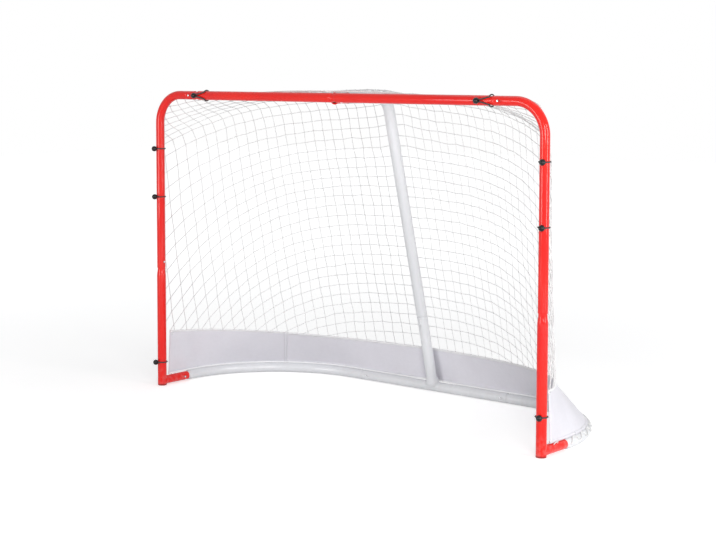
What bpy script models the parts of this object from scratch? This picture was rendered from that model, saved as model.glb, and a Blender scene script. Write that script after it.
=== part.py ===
"""Street hockey goal: a knock-down tube frame with its net, skirt, ball ties and snap clips.

Metres. X runs to the right seen from the front, Y to the back of the goal, Z up.
The pieces are drawn with the goal line at Y = 0 and hang from one empty,
which sets the middle of the footprint on the origin.
"""
import math

import bmesh
import bpy
import numpy as np
from mathutils import Matrix, Vector

# Mouth of the goal
OPENING_WIDTH = 1.829
OPENING_HEIGHT = 1.219
# Tube sizes
POST_DIAMETER = 0.038
UPPER_POST_DIAMETER = 0.0355
CROSSBAR_DIAMETER = 0.037
STUB_DIAMETER = 0.0355
BASE_DIAMETER = 0.041
ARM_DIAMETER = 0.0448
PROP_DIAMETER = 0.0436
TUBE_WALL = 0.0015
TUBE_SIDES = 16
CORNER_STEPS = 6
BASE_STEPS = 9
ARM_STEPS = 5
# Corner tubes and post joints
CORNER_RADIUS = 0.118
CROSSBAR_JOINT_X = 0.726
POST_JOINT_Z = 0.506
POST_TAPER_LENGTH = 0.03
# Middle joint of the crossbar
MIDDLE_JOINT_X = 0.018
# Swaged necks that plug into the next tube
NECK_LENGTH = 0.06
NECK_SHOWING = 0.02
POST_NECK_SHOWING = 0.006
BASE_NECK_SHOWING = 0.004
SHOULDER_LENGTH = 0.004
PLUG_GAP = 0.0003
# Post foot caps
CAP_THICKNESS = 0.006
CAP_PLUG_LENGTH = 0.018
# Base tube
BASE_REAR_Y = 0.667
BASE_BEND_RADIUS = 0.505
BASE_JOINT_X = 0.365
# Straight stretch of the base tube between its bend and the floor stub's end
BASE_STRAIGHT_LENGTH = 0.012
# Support behind the middle of the crossbar, slipped over a short spigot
SPIGOT_DROP = 0.0033
SPIGOT_START_Y = 0.012
SPIGOT_END_Y = 0.150
ARM_START_Y = 0.090
ARM_CORNER_Y = 0.3402
ARM_BEND_RADIUS = 0.08
PROP_JOINT_Z = 0.325
PROP_NECK_SHOWING = 0.003
FOOT_FLARE_DIAMETER = 0.054
FOOT_FLARE_LENGTH = 0.03
# Snap clips: a domed button riveted to a folded leaf spring
BUTTON_DIAMETER = 0.0084
BUTTON_CLEARANCE = 0.0005
BUTTON_SIDES = 8
BUTTON_PROUD = 0.0026
DOME_HEIGHT = 0.0013
DOME_STEPS = 3
BUTTON_SET_BACK = 0.025
STUB_BUTTON_SET_BACK = 0.028
LEAF_WIDTH = 0.008
LEAF_THICKNESS = 0.0008
LEAF_REACH = 0.028
LEAF_TAIL = 0.008
LEAF_FOLD = 0.0032
# Ball ties
BALL_DIAMETER = 0.023
BALL_RINGS = 6
BALL_SIDES = 8
TIE_CORD_DIAMETER = 0.005
TIE_GAP = 0.0006
TIE_STEPS = 14
TIE_SIDES = 5
TIE_OPEN_ANGLE = math.radians(38.0)
BALL_TURN = math.radians(16.0)
LEFT_TIE_DROPS = (0.2265, 0.4295)
RIGHT_TIE_DROPS = (0.2065, 0.4325)
LEFT_LOW_TIE_Z = 0.101
RIGHT_LOW_TIE_Z = 0.144
LEFT_BALL_INSET = 0.018
RIGHT_BALL_INSET = 0.055
BAR_TIE_SPREAD = 0.045
# Net
TWINE_WIDTH = 0.006
TWINE_THICKNESS = 0.002
NET_SIDE_EXPONENT = 1.8
NET_BACK_EXPONENT = 1.6
NET_LOW_SPREAD = 0.35
NET_ROW_POWER = 3.3
NET_TOP_FALL_RATE = 0.59
NET_SIDE_FALL_RATE = 1.62
NET_CORNER_LENGTH = 0.37
NET_RAMP_LENGTH = 0.10
NET_OVER_X = 0.06
NET_BEHIND_X = 0.60
NET_SLUMP = 0.026
NET_SLUMP_LENGTH = 0.80
NET_LEG_CLEARANCE = 0.0036
NET_CREASE_SHARE = 0.55
NET_RIDGE_LENGTH = 0.36
NET_SEAM_GAP = 0.0019
NET_SKIRT_GAP = 0.0014
NET_TOP_LINES = 3
NET_BACK_LINES = 10
NET_BACK_COLUMNS = 9
NET_SIDE_COLUMNS = 4
NET_ROW_STEPS = 60
# Spans searched for the row and the share where the net meets the skirt
LAST_ROW_SPAN = (0.5, 1.7)
FRONT_SHARE_SPAN = (0.5, 1.0)
SEARCH_STEPS = 30
# Skirt
SKIRT_BACK_TOP = 0.185
SKIRT_FRONT_TOP = 0.230
SKIRT_FRONT_Y = 0.045
SKIRT_THICKNESS = 0.0015
SKIRT_SEAM_SHARE = 0.56
SKIRT_FOOT_BULGE = 0.0235
SKIRT_FOOT_HALF = 0.12
SKIRT_COLUMNS = 10
SKIRT_ROWS = 2
# Lacing
LACE_DIAMETER = 0.004
LACE_GAP = 0.0009
LACE_PITCH = 0.07
LACE_WAVE_STEPS = 6
LACE_SIDES = 5
LACE_LOW_ANGLE = math.radians(8.0)
LACE_HIGH_ANGLE = math.radians(66.0)
HOOK_WIRE = 0.003
HOOK_HEIGHT = 0.010
HOOK_SPAN = 0.024
HOOK_Y = 0.078
HOOK_LEAN = math.radians(35.0)
HOOK_LIFT = 0.0004
HOOK_STEPS = 8
HOOK_SIDES = 6
# Gap between pieces that touch
GAP = 0.0003

# Sizes that follow from the ones above
POST_R = POST_DIAMETER / 2
UPPER_R = UPPER_POST_DIAMETER / 2
BAR_R = CROSSBAR_DIAMETER / 2
STUB_R = STUB_DIAMETER / 2
BASE_R = BASE_DIAMETER / 2
ARM_R = ARM_DIAMETER / 2
PROP_R = PROP_DIAMETER / 2
SPIGOT_R = ARM_R - TUBE_WALL - PLUG_GAP
POST_X = OPENING_WIDTH / 2 + POST_R
BAR_Z = OPENING_HEIGHT + BAR_R
ARM_Z = BAR_Z - SPIGOT_DROP
BASE_Z = BASE_R
BEND_X = POST_X - CORNER_RADIUS
BEND_Z = BAR_Z - CORNER_RADIUS
BASE_ARC_X = POST_X - BASE_BEND_RADIUS
BASE_ARC_Y = BASE_REAR_Y - BASE_BEND_RADIUS
STUB_END_Y = BASE_ARC_Y - BASE_STRAIGHT_LENGTH
LEFT_TIE_HEIGHTS = (BAR_Z - LEFT_TIE_DROPS[0], BAR_Z - LEFT_TIE_DROPS[1], LEFT_LOW_TIE_Z)
RIGHT_TIE_HEIGHTS = (BAR_Z - RIGHT_TIE_DROPS[0], BAR_Z - RIGHT_TIE_DROPS[1], RIGHT_LOW_TIE_Z)
BAR_BALL_X = (LEFT_BALL_INSET - CROSSBAR_JOINT_X, CROSSBAR_JOINT_X - RIGHT_BALL_INSET)
BALL_R = BALL_DIAMETER / 2
TIE_R = TIE_CORD_DIAMETER / 2
TWINE_R = TWINE_THICKNESS / 2
BALL_REACH = POST_R + GAP + BALL_R
FRONT_REACH = BALL_REACH * math.cos(BALL_TURN) + BALL_R
BACK_REACH = BASE_REAR_Y + BASE_R
FOOT_SHIFT_Y = (FRONT_REACH - BACK_REACH) / 2
# The leg of the support leans from the bend down to the middle of the base tube
LEG_RUN = BASE_REAR_Y - ARM_CORNER_Y
LEG_FALL = ARM_Z - BASE_Z
LEG_SLOPE = LEG_RUN / LEG_FALL
LEG_ANGLE = math.atan2(LEG_RUN, LEG_FALL)
LEG_DOWN = Vector((0, math.sin(LEG_ANGLE), -math.cos(LEG_ANGLE)))
LEG_FRONT = Vector((0, -math.cos(LEG_ANGLE), -math.sin(LEG_ANGLE)))
# The net lies outside the ties on the mouth's tubes, above the support and behind the leg
NET_REACH = BAR_R + TIE_GAP + TIE_CORD_DIAMETER + GAP + TWINE_R
NET_EDGE_Y = POST_R + TIE_GAP + TIE_CORD_DIAMETER + GAP
NET_TOP_Z = BAR_Z + NET_REACH
NET_LEG_REACH = ARM_R + NET_LEG_CLEARANCE + TWINE_R

# Finishes: colour, roughness and metallic value
RED_PAINT = ((0.84, 0.06, 0.03, 1), 0.3, 0.0)
WHITE_PAINT = ((0.82, 0.83, 0.85, 1), 0.25, 0.0)
BLACK_RUBBER = ((0.02, 0.02, 0.02, 1), 0.35, 0.0)
BLACK_CORD = ((0.025, 0.025, 0.025, 1), 0.8, 0.0)
NET_TWINE = ((0.86, 0.86, 0.86, 1), 0.8, 0.0)
SKIRT_CLOTH = ((0.66, 0.65, 0.70, 1), 0.7, 0.0)
CLIP_STEEL = ((0.62, 0.63, 0.65, 1), 0.3, 1.0)
CAP_PLASTIC = ((0.34, 0.015, 0.012, 1), 0.5, 0.0)
COATED_WIRE = ((0.80, 0.80, 0.80, 1), 0.4, 0.0)
SHARP_ANGLE = math.radians(40.0)

SIDES = (("left", -1), ("right", 1))


def clear_scene():
    """Start from an empty file."""
    for thing in list(bpy.data.objects):
        bpy.data.objects.remove(thing, do_unlink=True)


def make_material(name, colour, roughness, metallic=0.0):
    """A plain finish with the piece's colour."""
    finish = bpy.data.materials.new(name)
    finish.use_nodes = True
    shader = finish.node_tree.nodes["Principled BSDF"]
    shader.inputs["Base Color"].default_value = colour
    shader.inputs["Roughness"].default_value = roughness
    shader.inputs["Metallic"].default_value = metallic
    return finish


def make_frame():
    """The empty that every piece hangs from."""
    empty = bpy.data.objects.new("goal_line", None)
    empty.location = (0, FOOT_SHIFT_Y, 0)
    bpy.context.scene.collection.objects.link(empty)
    return empty


class Maker:
    """Makes named pieces and hangs them from the goal's empty."""

    def __init__(self, frame):
        self.frame = frame

    def piece(self, name, shape, look, origin=(0, 0, 0)):
        """Turn a bmesh, drawn round its origin, into a named piece."""
        mesh = bpy.data.meshes.new(name)
        bmesh.ops.recalc_face_normals(shape, faces=shape.faces)
        shape.to_mesh(mesh)
        shape.free()
        mesh.shade_smooth()
        mesh.set_sharp_from_angle(angle=SHARP_ANGLE)
        colour, roughness, metallic = look
        mesh.materials.append(make_material(name, colour, roughness, metallic))
        thing = bpy.data.objects.new(name, mesh)
        thing.location = origin
        thing.parent = self.frame
        bpy.context.scene.collection.objects.link(thing)
        return thing

    def cutter(self, name, shape):
        """A hidden shape that cuts another piece."""
        thing = self.piece(name, shape, CLIP_STEEL)
        thing.hide_render = True
        thing.display_type = "WIRE"
        return thing


def boolean(target, tool, operation):
    """Cut or join the target with the tool."""
    step = target.modifiers.new(operation.lower(), "BOOLEAN")
    step.operation = operation
    step.solver = "EXACT"
    step.object = tool


def ring(shape, centre, across, up, radius, sides):
    """One ring of points round a centre."""
    points = []
    for index in range(sides):
        angle = 2 * math.pi * index / sides
        offset = across * (radius * math.cos(angle)) + up * (radius * math.sin(angle))
        points.append(shape.verts.new(centre + offset))
    return points


def join_rings(shape, first, second):
    """Faces between two rings of the same count."""
    count = len(first)
    for index in range(count):
        nxt = (index + 1) % count
        shape.faces.new((first[index], first[nxt], second[nxt], second[index]))


def tangents(path):
    """Directions along a path of points."""
    result = []
    for index in range(len(path)):
        before = path[max(index - 1, 0)]
        after = path[min(index + 1, len(path) - 1)]
        result.append((after - before).normalized())
    return result


def tube(path, radii, flat_normal, wall=TUBE_WALL, sides=TUBE_SIDES):
    """An open tube along a path that lies in the plane of flat_normal."""
    shape = bmesh.new()
    outer = []
    inner = []
    for point, along, radius in zip(path, tangents(path), radii):
        up = along.cross(flat_normal).normalized()
        outer.append(ring(shape, point, flat_normal, up, radius, sides))
        inner.append(ring(shape, point, flat_normal, up, radius - wall, sides))
    for index in range(len(path) - 1):
        join_rings(shape, outer[index], outer[index + 1])
        join_rings(shape, inner[index + 1], inner[index])
    join_rings(shape, inner[0], outer[0])
    join_rings(shape, outer[-1], inner[-1])
    return shape


def cord(path, radius, sides):
    """A solid cord along any path, with flat ends."""
    shape = bmesh.new()
    along = tangents(path)
    across = along[0].orthogonal().normalized()
    rings = []
    for point, direction in zip(path, along):
        across = (across - direction * across.dot(direction)).normalized()
        rings.append(ring(shape, point, across, direction.cross(across), radius, sides))
    for first, second in zip(rings, rings[1:]):
        join_rings(shape, first, second)
    shape.faces.new(rings[0])
    shape.faces.new(rings[-1])
    return shape


def turned(profile, sides, along=Vector((0, 0, 1)), across=Vector((1, 0, 0))):
    """A closed turned body from (radius, height) pairs between its two poles."""
    shape = bmesh.new()
    up = along.cross(across)
    rings = [ring(shape, along * height, across, up, radius, sides) for radius, height in profile]
    for first, second in zip(rings, rings[1:]):
        join_rings(shape, first, second)
    shape.faces.new(rings[0])
    shape.faces.new(rings[-1])
    return shape


def rod(start, end, radius, sides=TUBE_SIDES):
    """A plain round bar between two points."""
    along = (end - start).normalized()
    across = along.orthogonal().normalized()
    shape = turned(((radius, 0), (radius, (end - start).length)), sides, along, across)
    bmesh.ops.translate(shape, verts=shape.verts, vec=start)
    return shape


def arc(centre, start, turn_axis, angle, steps):
    """Points of an arc that begins at start and turns round centre."""
    spoke = start - centre
    points = []
    for index in range(steps + 1):
        turn = Matrix.Rotation(angle * index / steps, 3, turn_axis)
        points.append(centre + turn @ spoke)
    return points


def neck_radius(outer_tube_radius):
    """Outer radius of the neck that plugs into a tube."""
    return outer_tube_radius - TUBE_WALL - PLUG_GAP


def clip_travel():
    """How far a button goes in before the outer tube slides free."""
    return TUBE_WALL + PLUG_GAP + BUTTON_PROUD


def inner_flat(neck_r):
    """Distance from the axis to the flats inside a neck."""
    return (neck_r - TUBE_WALL) * math.cos(math.pi / TUBE_SIDES)


def leaf_height(neck_r):
    """Height at which a leaf lies against the inside of a neck."""
    half_width = LEAF_WIDTH / 2
    return math.sqrt(inner_flat(neck_r) ** 2 - half_width ** 2) - GAP


def leaf_outline(points, thickness):
    """Closed outline of a folded strip, from its middle line."""
    left = []
    right = []
    for index, point in enumerate(points):
        before = points[max(index - 1, 0)]
        after = points[min(index + 1, len(points) - 1)]
        along = (after - before).normalized()
        side = Vector((-along.y, along.x)) * (thickness / 2)
        left.append(point + side)
        right.append(point - side)
    return left + right[::-1]


def leaf_spring(neck_r, along, out):
    """The folded leaf under a button, drawn round the tube's axis."""
    top = leaf_height(neck_r) - LEAF_THICKNESS / 2
    low = -leaf_height(neck_r) + clip_travel() + LEAF_THICKNESS
    middle_line = [
        Vector((-LEAF_TAIL, top)),
        Vector((LEAF_REACH, top)),
        Vector((LEAF_REACH + LEAF_FOLD / 2, top - LEAF_FOLD / 2)),
        Vector((LEAF_REACH, top - LEAF_FOLD)),
        Vector((-LEAF_TAIL, low)),
    ]
    shape = bmesh.new()
    across = along.cross(out)
    outline = leaf_outline(middle_line, LEAF_THICKNESS)
    ends = []
    for side in (-LEAF_WIDTH / 2, LEAF_WIDTH / 2):
        ends.append([shape.verts.new(along * p.x + out * p.y + across * side) for p in outline])
    join_rings(shape, ends[0], ends[1])
    shape.faces.new(ends[0])
    shape.faces.new(ends[1])
    return shape


def button_profile(neck_r, outer_r):
    """Turned profile of a button from its rivet to its dome."""
    radius = BUTTON_DIAMETER / 2
    top = outer_r + BUTTON_PROUD
    profile = [(radius, leaf_height(neck_r) - LEAF_THICKNESS / 2)]
    for index in range(DOME_STEPS):
        angle = math.pi / 2 * index / DOME_STEPS
        profile.append((radius * math.cos(angle), top - DOME_HEIGHT * (1 - math.sin(angle))))
    return profile


def snap_clip(maker, name, place, along, out, neck_r, outer_r, tubes):
    """A clip at a place on a joint's axis, and its hole through both tubes."""
    button = turned(button_profile(neck_r, outer_r), BUTTON_SIDES, out, along)
    clip = maker.piece(name, button, CLIP_STEEL, place)
    leaf = maker.cutter(name + "_leaf", leaf_spring(neck_r, along, out))
    leaf.location = place
    boolean(clip, leaf, "UNION")
    start = place + out * (inner_flat(neck_r) / 2)
    end = place + out * (outer_r + 2 * BUTTON_PROUD)
    hole_r = BUTTON_DIAMETER / 2 + BUTTON_CLEARANCE
    drill = maker.cutter(name + "_hole", rod(start, end, hole_r, BUTTON_SIDES))
    for pipe in tubes:
        boolean(pipe, drill, "DIFFERENCE")


def post_foot(maker, side, sign):
    """Lower post, its foot cap and the floor stub welded behind it."""
    front = Vector((0, 1, 0))
    foot = CAP_THICKNESS + GAP
    neck = neck_radius(UPPER_R)
    taper_end = POST_JOINT_Z - POST_NECK_SHOWING
    heights = (foot, taper_end - POST_TAPER_LENGTH, taper_end, POST_JOINT_Z + NECK_LENGTH)
    radii = (POST_R, POST_R, neck, neck)
    path = [Vector((sign * POST_X, 0, height)) for height in heights]
    post = maker.piece("lower_post_" + side, tube(path, radii, front), RED_PAINT)
    flange = [(POST_R, 0), (POST_R, CAP_THICKNESS)]
    plug_r = POST_R - TUBE_WALL - PLUG_GAP
    plug = [(plug_r, CAP_THICKNESS), (plug_r, CAP_THICKNESS + CAP_PLUG_LENGTH)]
    cap = turned(flange + plug, TUBE_SIDES, across=front)
    maker.piece("foot_cap_" + side, cap, CAP_PLASTIC, (sign * POST_X, 0, 0))
    start = Vector((sign * POST_X, POST_R / 2, BASE_Z))
    end = Vector((sign * POST_X, STUB_END_Y, BASE_Z))
    pipe = tube([start, end], (STUB_R, STUB_R), Vector((0, 0, 1)))
    stub = maker.piece("floor_stub_" + side, pipe, RED_PAINT)
    low = Vector((sign * POST_X, 0, -POST_R))
    high = Vector((sign * POST_X, 0, BASE_Z + 2 * POST_R))
    saddle = turned(((POST_R + GAP, 0), (POST_R + GAP, (high - low).length)), TUBE_SIDES, across=front)
    bmesh.ops.translate(saddle, verts=saddle.verts, vec=low)
    boolean(stub, maker.cutter("stub_saddle_" + side, saddle), "DIFFERENCE")
    return post, stub


def corner_tube(maker, side, sign):
    """Upper post and its bend into the crossbar, one bent tube."""
    centre = Vector((sign * BEND_X, 0, BEND_Z))
    start = Vector((sign * POST_X, 0, BEND_Z))
    path = [Vector((sign * POST_X, 0, POST_JOINT_Z))]
    path += arc(centre, start, Vector((0, 1, 0)), -sign * math.pi / 2, CORNER_STEPS)
    path.append(Vector((sign * CROSSBAR_JOINT_X, 0, BAR_Z)))
    pipe = tube(path, [UPPER_R] * len(path), Vector((0, 1, 0)))
    return maker.piece("corner_tube_" + side, pipe, RED_PAINT)


def crossbar_half(maker, side, sign):
    """Half of the crossbar; the left half's inner end plugs into the right one's."""
    outer_neck = neck_radius(UPPER_R)
    inner_neck = neck_radius(BAR_R)
    shoulder = CROSSBAR_JOINT_X - NECK_SHOWING
    stations = [
        (sign * (CROSSBAR_JOINT_X + NECK_LENGTH), outer_neck),
        (sign * (shoulder + SHOULDER_LENGTH), outer_neck),
        (sign * shoulder, BAR_R),
    ]
    if sign > 0:
        stations.append((MIDDLE_JOINT_X, BAR_R))
    else:
        inner_shoulder = MIDDLE_JOINT_X - NECK_SHOWING
        stations.append((inner_shoulder - SHOULDER_LENGTH, BAR_R))
        stations.append((inner_shoulder, inner_neck))
        stations.append((MIDDLE_JOINT_X + NECK_LENGTH, inner_neck))
    path = [Vector((x, 0, BAR_Z)) for x, radius in stations]
    radii = [radius for x, radius in stations]
    pipe = tube(path, radii, Vector((0, 1, 0)))
    return maker.piece("crossbar_" + side, pipe, RED_PAINT)


def support_spigot(maker):
    """Short tube welded behind the crossbar, which the support arm slips over."""
    start = Vector((0, SPIGOT_START_Y, ARM_Z))
    end = Vector((0, SPIGOT_END_Y, ARM_Z))
    pipe = tube([start, end], (SPIGOT_R, SPIGOT_R), Vector((1, 0, 0)))
    spigot = maker.piece("support_spigot", pipe, RED_PAINT)
    left = Vector((-2 * SPIGOT_R, 0, BAR_Z))
    right = Vector((2 * SPIGOT_R, 0, BAR_Z))
    boolean(spigot, maker.cutter("spigot_saddle", rod(left, right, BAR_R + GAP)), "DIFFERENCE")


def leg_point(height):
    """Point on the leg's axis at a height."""
    return Vector((0, ARM_CORNER_Y + LEG_SLOPE * (ARM_Z - height), height))


def support_arm(maker):
    """Upper part of the support: over the spigot, round its bend and down the leg."""
    turn = math.pi / 2 - LEG_ANGLE
    tangent = ARM_BEND_RADIUS * math.tan(turn / 2)
    bend_start = Vector((0, ARM_CORNER_Y - tangent, ARM_Z))
    centre = bend_start - Vector((0, 0, ARM_BEND_RADIUS))
    path = [Vector((0, ARM_START_Y, ARM_Z))]
    path += arc(centre, bend_start, Vector((1, 0, 0)), -turn, ARM_STEPS)
    radii = [ARM_R] * len(path)
    joint = leg_point(PROP_JOINT_Z)
    neck = neck_radius(PROP_R)
    for distance, radius in (
        (-PROP_NECK_SHOWING - SHOULDER_LENGTH, ARM_R),
        (-PROP_NECK_SHOWING, neck),
        (NECK_LENGTH, neck),
    ):
        path.append(joint + LEG_DOWN * distance)
        radii.append(radius)
    return maker.piece("support_arm", tube(path, radii, Vector((1, 0, 0))), WHITE_PAINT)


def support_prop(maker):
    """Lower part of the support, flared and welded onto the base tube."""
    joint = leg_point(PROP_JOINT_Z)
    foot = leg_point(BASE_Z)
    length = (foot - joint).length
    flare = FOOT_FLARE_DIAMETER / 2
    path = [joint, joint + LEG_DOWN * (length - BASE_R - FOOT_FLARE_LENGTH), foot - LEG_DOWN * (BASE_R / 2)]
    pipe = tube(path, (PROP_R, PROP_R, flare), Vector((1, 0, 0)))
    prop = maker.piece("support_prop", pipe, WHITE_PAINT)
    left = Vector((-FOOT_FLARE_DIAMETER, BASE_REAR_Y, BASE_Z))
    right = Vector((FOOT_FLARE_DIAMETER, BASE_REAR_Y, BASE_Z))
    across = Vector((0, 0, 1))
    saddle = turned(((BASE_R + GAP, 0), (BASE_R + GAP, (right - left).length)), TUBE_SIDES,
                    Vector((1, 0, 0)), across)
    bmesh.ops.translate(saddle, verts=saddle.verts, vec=left)
    boolean(prop, maker.cutter("foot_saddle", saddle), "DIFFERENCE")
    return prop


def base_side(maker, side, sign):
    """Bent tube from a floor stub round to the middle of the base."""
    stub_neck = neck_radius(STUB_R)
    centre_neck = neck_radius(BASE_R)
    shoulder_y = STUB_END_Y + BASE_NECK_SHOWING
    path = [
        Vector((sign * POST_X, STUB_END_Y - NECK_LENGTH, BASE_Z)),
        Vector((sign * POST_X, shoulder_y, BASE_Z)),
        Vector((sign * POST_X, shoulder_y + SHOULDER_LENGTH, BASE_Z)),
    ]
    radii = [stub_neck, stub_neck, BASE_R]
    centre = Vector((sign * BASE_ARC_X, BASE_ARC_Y, BASE_Z))
    start = Vector((sign * POST_X, BASE_ARC_Y, BASE_Z))
    bend = arc(centre, start, Vector((0, 0, 1)), sign * math.pi / 2, BASE_STEPS)
    path += bend
    radii += [BASE_R] * len(bend)
    inner_shoulder = BASE_JOINT_X + BASE_NECK_SHOWING
    for x, radius in (
        (inner_shoulder + SHOULDER_LENGTH, BASE_R),
        (inner_shoulder, centre_neck),
        (BASE_JOINT_X - NECK_LENGTH, centre_neck),
    ):
        path.append(Vector((sign * x, BASE_REAR_Y, BASE_Z)))
        radii.append(radius)
    pipe = tube(path, radii, Vector((0, 0, 1)))
    return maker.piece("base_side_" + side, pipe, WHITE_PAINT)


def base_centre(maker):
    """Straight rear tube, which takes both side tubes in its ends."""
    path = [Vector((x, BASE_REAR_Y, BASE_Z)) for x in (-BASE_JOINT_X, BASE_JOINT_X)]
    pipe = tube(path, (BASE_R, BASE_R), Vector((0, 0, 1)))
    return maker.piece("base_centre", pipe, WHITE_PAINT)


def snap_clips(maker, pipes):
    """Every clip: two on each side's posts, stubs and bar ends, and three on the middle line."""
    for side, sign in SIDES:
        out = Vector((0, -1, 0))
        place = Vector((sign * (CROSSBAR_JOINT_X + BUTTON_SET_BACK), 0, BAR_Z))
        tubes = (pipes["corner_" + side], pipes["bar_" + side])
        snap_clip(maker, "snap_clip_bar_" + side, place, Vector((-sign, 0, 0)), out,
                  neck_radius(UPPER_R), UPPER_R, tubes)
        inward = Vector((-sign, 0, 0))
        place = Vector((sign * POST_X, 0, POST_JOINT_Z + BUTTON_SET_BACK))
        tubes = (pipes["corner_" + side], pipes["post_" + side])
        snap_clip(maker, "snap_clip_post_" + side, place, Vector((0, 0, -1)), inward,
                  neck_radius(UPPER_R), UPPER_R, tubes)
        place = Vector((sign * POST_X, STUB_END_Y - STUB_BUTTON_SET_BACK, BASE_Z))
        tubes = (pipes["stub_" + side], pipes["base_" + side])
        snap_clip(maker, "snap_clip_stub_" + side, place, Vector((0, 1, 0)), inward,
                  neck_radius(STUB_R), STUB_R, tubes)
        place = Vector((sign * (BASE_JOINT_X - BUTTON_SET_BACK), BASE_REAR_Y, BASE_Z))
        tubes = (pipes["base_centre"], pipes["base_" + side])
        snap_clip(maker, "snap_clip_base_" + side, place, Vector((sign, 0, 0)), out,
                  neck_radius(BASE_R), BASE_R, tubes)
    place = Vector((MIDDLE_JOINT_X + BUTTON_SET_BACK, 0, BAR_Z))
    snap_clip(maker, "snap_clip_bar_middle", place, Vector((-1, 0, 0)), Vector((0, 0, -1)),
              neck_radius(BAR_R), BAR_R, (pipes["bar_left"], pipes["bar_right"]))
    place = leg_point(PROP_JOINT_Z) + LEG_DOWN * BUTTON_SET_BACK
    snap_clip(maker, "snap_clip_support", place, -LEG_DOWN, LEG_FRONT,
              neck_radius(PROP_R), PROP_R, (pipes["arm"], pipes["prop"]))


def tie_loop_path(axis_point, tube_r, out, along, skew):
    """Cord of a tie: from its ball round the tube and back, in a V when skewed."""
    loop_r = tube_r + TIE_GAP + TIE_R
    across = along.cross(out)
    ball = axis_point + out * (tube_r + GAP + BALL_R) + along * skew
    turn = 2 * (math.pi - TIE_OPEN_ANGLE) / TIE_STEPS
    points = []
    for index in range(TIE_STEPS + 1):
        angle = TIE_OPEN_ANGLE + turn * index
        points.append(axis_point + out * (loop_r * math.cos(angle)) + across * (loop_r * math.sin(angle)))
    for end in (0, -1):
        direction = (points[end] - ball).normalized()
        touch = ball + direction * (BALL_R + GAP)
        if (points[end] - touch).length > TIE_CORD_DIAMETER:
            points.insert(0 if end == 0 else len(points), touch)
    return points, ball


def ball_tie(maker, name, axis_point, tube_r, out, along, skew=0.0):
    """A ball and its elastic loop round a tube."""
    points, centre = tie_loop_path(axis_point, tube_r, out, along, skew)
    maker.piece("tie_loop_" + name, cord(points, TIE_R, TIE_SIDES), BLACK_CORD)
    profile = []
    for index in range(1, BALL_RINGS + 1):
        angle = math.pi * index / (BALL_RINGS + 1)
        profile.append((BALL_R * math.sin(angle), -BALL_R * math.cos(angle)))
    ball = turned(profile, BALL_SIDES, along, out)
    maker.piece("tie_ball_" + name, ball, BLACK_RUBBER, centre)


def ball_ties(maker):
    """Three ties on each post and two on the crossbar."""
    levels = ("upper", "middle", "lower")
    for (side, sign), heights in zip(SIDES, (LEFT_TIE_HEIGHTS, RIGHT_TIE_HEIGHTS)):
        out = Vector((sign * math.sin(BALL_TURN), -math.cos(BALL_TURN), 0))
        for level, height in zip(levels, heights):
            radius = UPPER_R if height > POST_JOINT_Z else POST_R
            spot = Vector((sign * POST_X, 0, height))
            ball_tie(maker, side + "_" + level, spot, radius, out, Vector((0, 0, 1)))
    for (side, sign), ball_x in zip(SIDES, BAR_BALL_X):
        spot = Vector((ball_x + BAR_TIE_SPREAD, 0, BAR_Z))
        ball_tie(maker, "bar_" + side, spot, BAR_R, Vector((0, -1, 0)), Vector((1, 0, 0)), -BAR_TIE_SPREAD)


def net_middle(row):
    """Depth and height of the net on the middle plane, row metres from the crossbar."""
    turn = math.pi / 2 - LEG_ANGLE
    radius = ARM_BEND_RADIUS + NET_LEG_REACH
    corner = leg_point(NET_TOP_Z).y + NET_LEG_REACH / math.cos(LEG_ANGLE)
    flat = corner - radius * math.tan(turn / 2)
    if row < flat:
        return row, NET_TOP_Z
    bend = min((row - flat) / radius, turn)
    depth = flat + radius * math.sin(bend)
    height = NET_TOP_Z - radius * (1 - math.cos(bend))
    rest = max(0.0, row - flat - radius * turn)
    return depth + rest * LEG_DOWN.y, height + rest * LEG_DOWN.z


def net_edge(row):
    """Where a row of the net ends, behind the corner tube or post."""
    height = BAR_Z - NET_TOP_FALL_RATE * min(row, NET_CORNER_LENGTH)
    height -= NET_SIDE_FALL_RATE * max(0.0, row - NET_CORNER_LENGTH)
    rise = max(0.0, height - BEND_Z)
    return BEND_X + math.sqrt(max(0.0, CORNER_RADIUS ** 2 - rise ** 2)), NET_EDGE_Y, height


def net_row(row):
    """Points of one row of the net from the middle to the post, with their shares of its length."""
    depth, height = net_middle(row)
    edge_x, edge_y, edge_z = net_edge(row)
    low = 1 - min(1.0, max(0.0, height / BAR_Z))
    back_exponent = NET_BACK_EXPONENT + NET_LOW_SPREAD * low ** 3
    angle = np.linspace(0, math.pi / 2, NET_ROW_STEPS + 1)
    x = edge_x * np.sin(angle) ** (2 / NET_SIDE_EXPONENT)
    inward = np.cos(angle) ** (2 / back_exponent)
    steps = np.hypot(np.diff(x), np.diff(depth * inward))
    share = np.concatenate([[0], np.cumsum(steps)])
    share /= share[-1]
    z = height - (height - edge_z) * share ** NET_ROW_POWER
    lean = LEG_SLOPE * (height - z) * min(1.0, row / NET_CORNER_LENGTH)
    y = edge_y + (depth - edge_y + lean) * inward
    span = np.clip((x - NET_OVER_X) / (edge_x - NET_OVER_X), 0, 1)
    hang = math.sin(math.pi * min(1.0, row / NET_SLUMP_LENGTH))
    z -= NET_SLUMP * hang * np.sqrt(4 * span * (1 - span))
    near_bar = max(0.0, 1 - row / NET_RAMP_LENGTH)
    wrap = np.clip((x - NET_OVER_X) / (NET_BEHIND_X - NET_OVER_X), 0, 1) * math.pi / 2
    y += (NET_REACH * np.sin(wrap) - y) * near_bar
    z += (BAR_Z + NET_REACH * np.cos(wrap) - z) * near_bar
    return share, np.stack([x, y, z])


def net_point(row, share):
    """Point of the net on a row, at a signed share of the way out to the post."""
    shares, points = net_row(row)
    x, y, z = (float(np.interp(abs(share), shares, axis)) for axis in points)
    return Vector((math.copysign(x, share), y, z))


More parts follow.
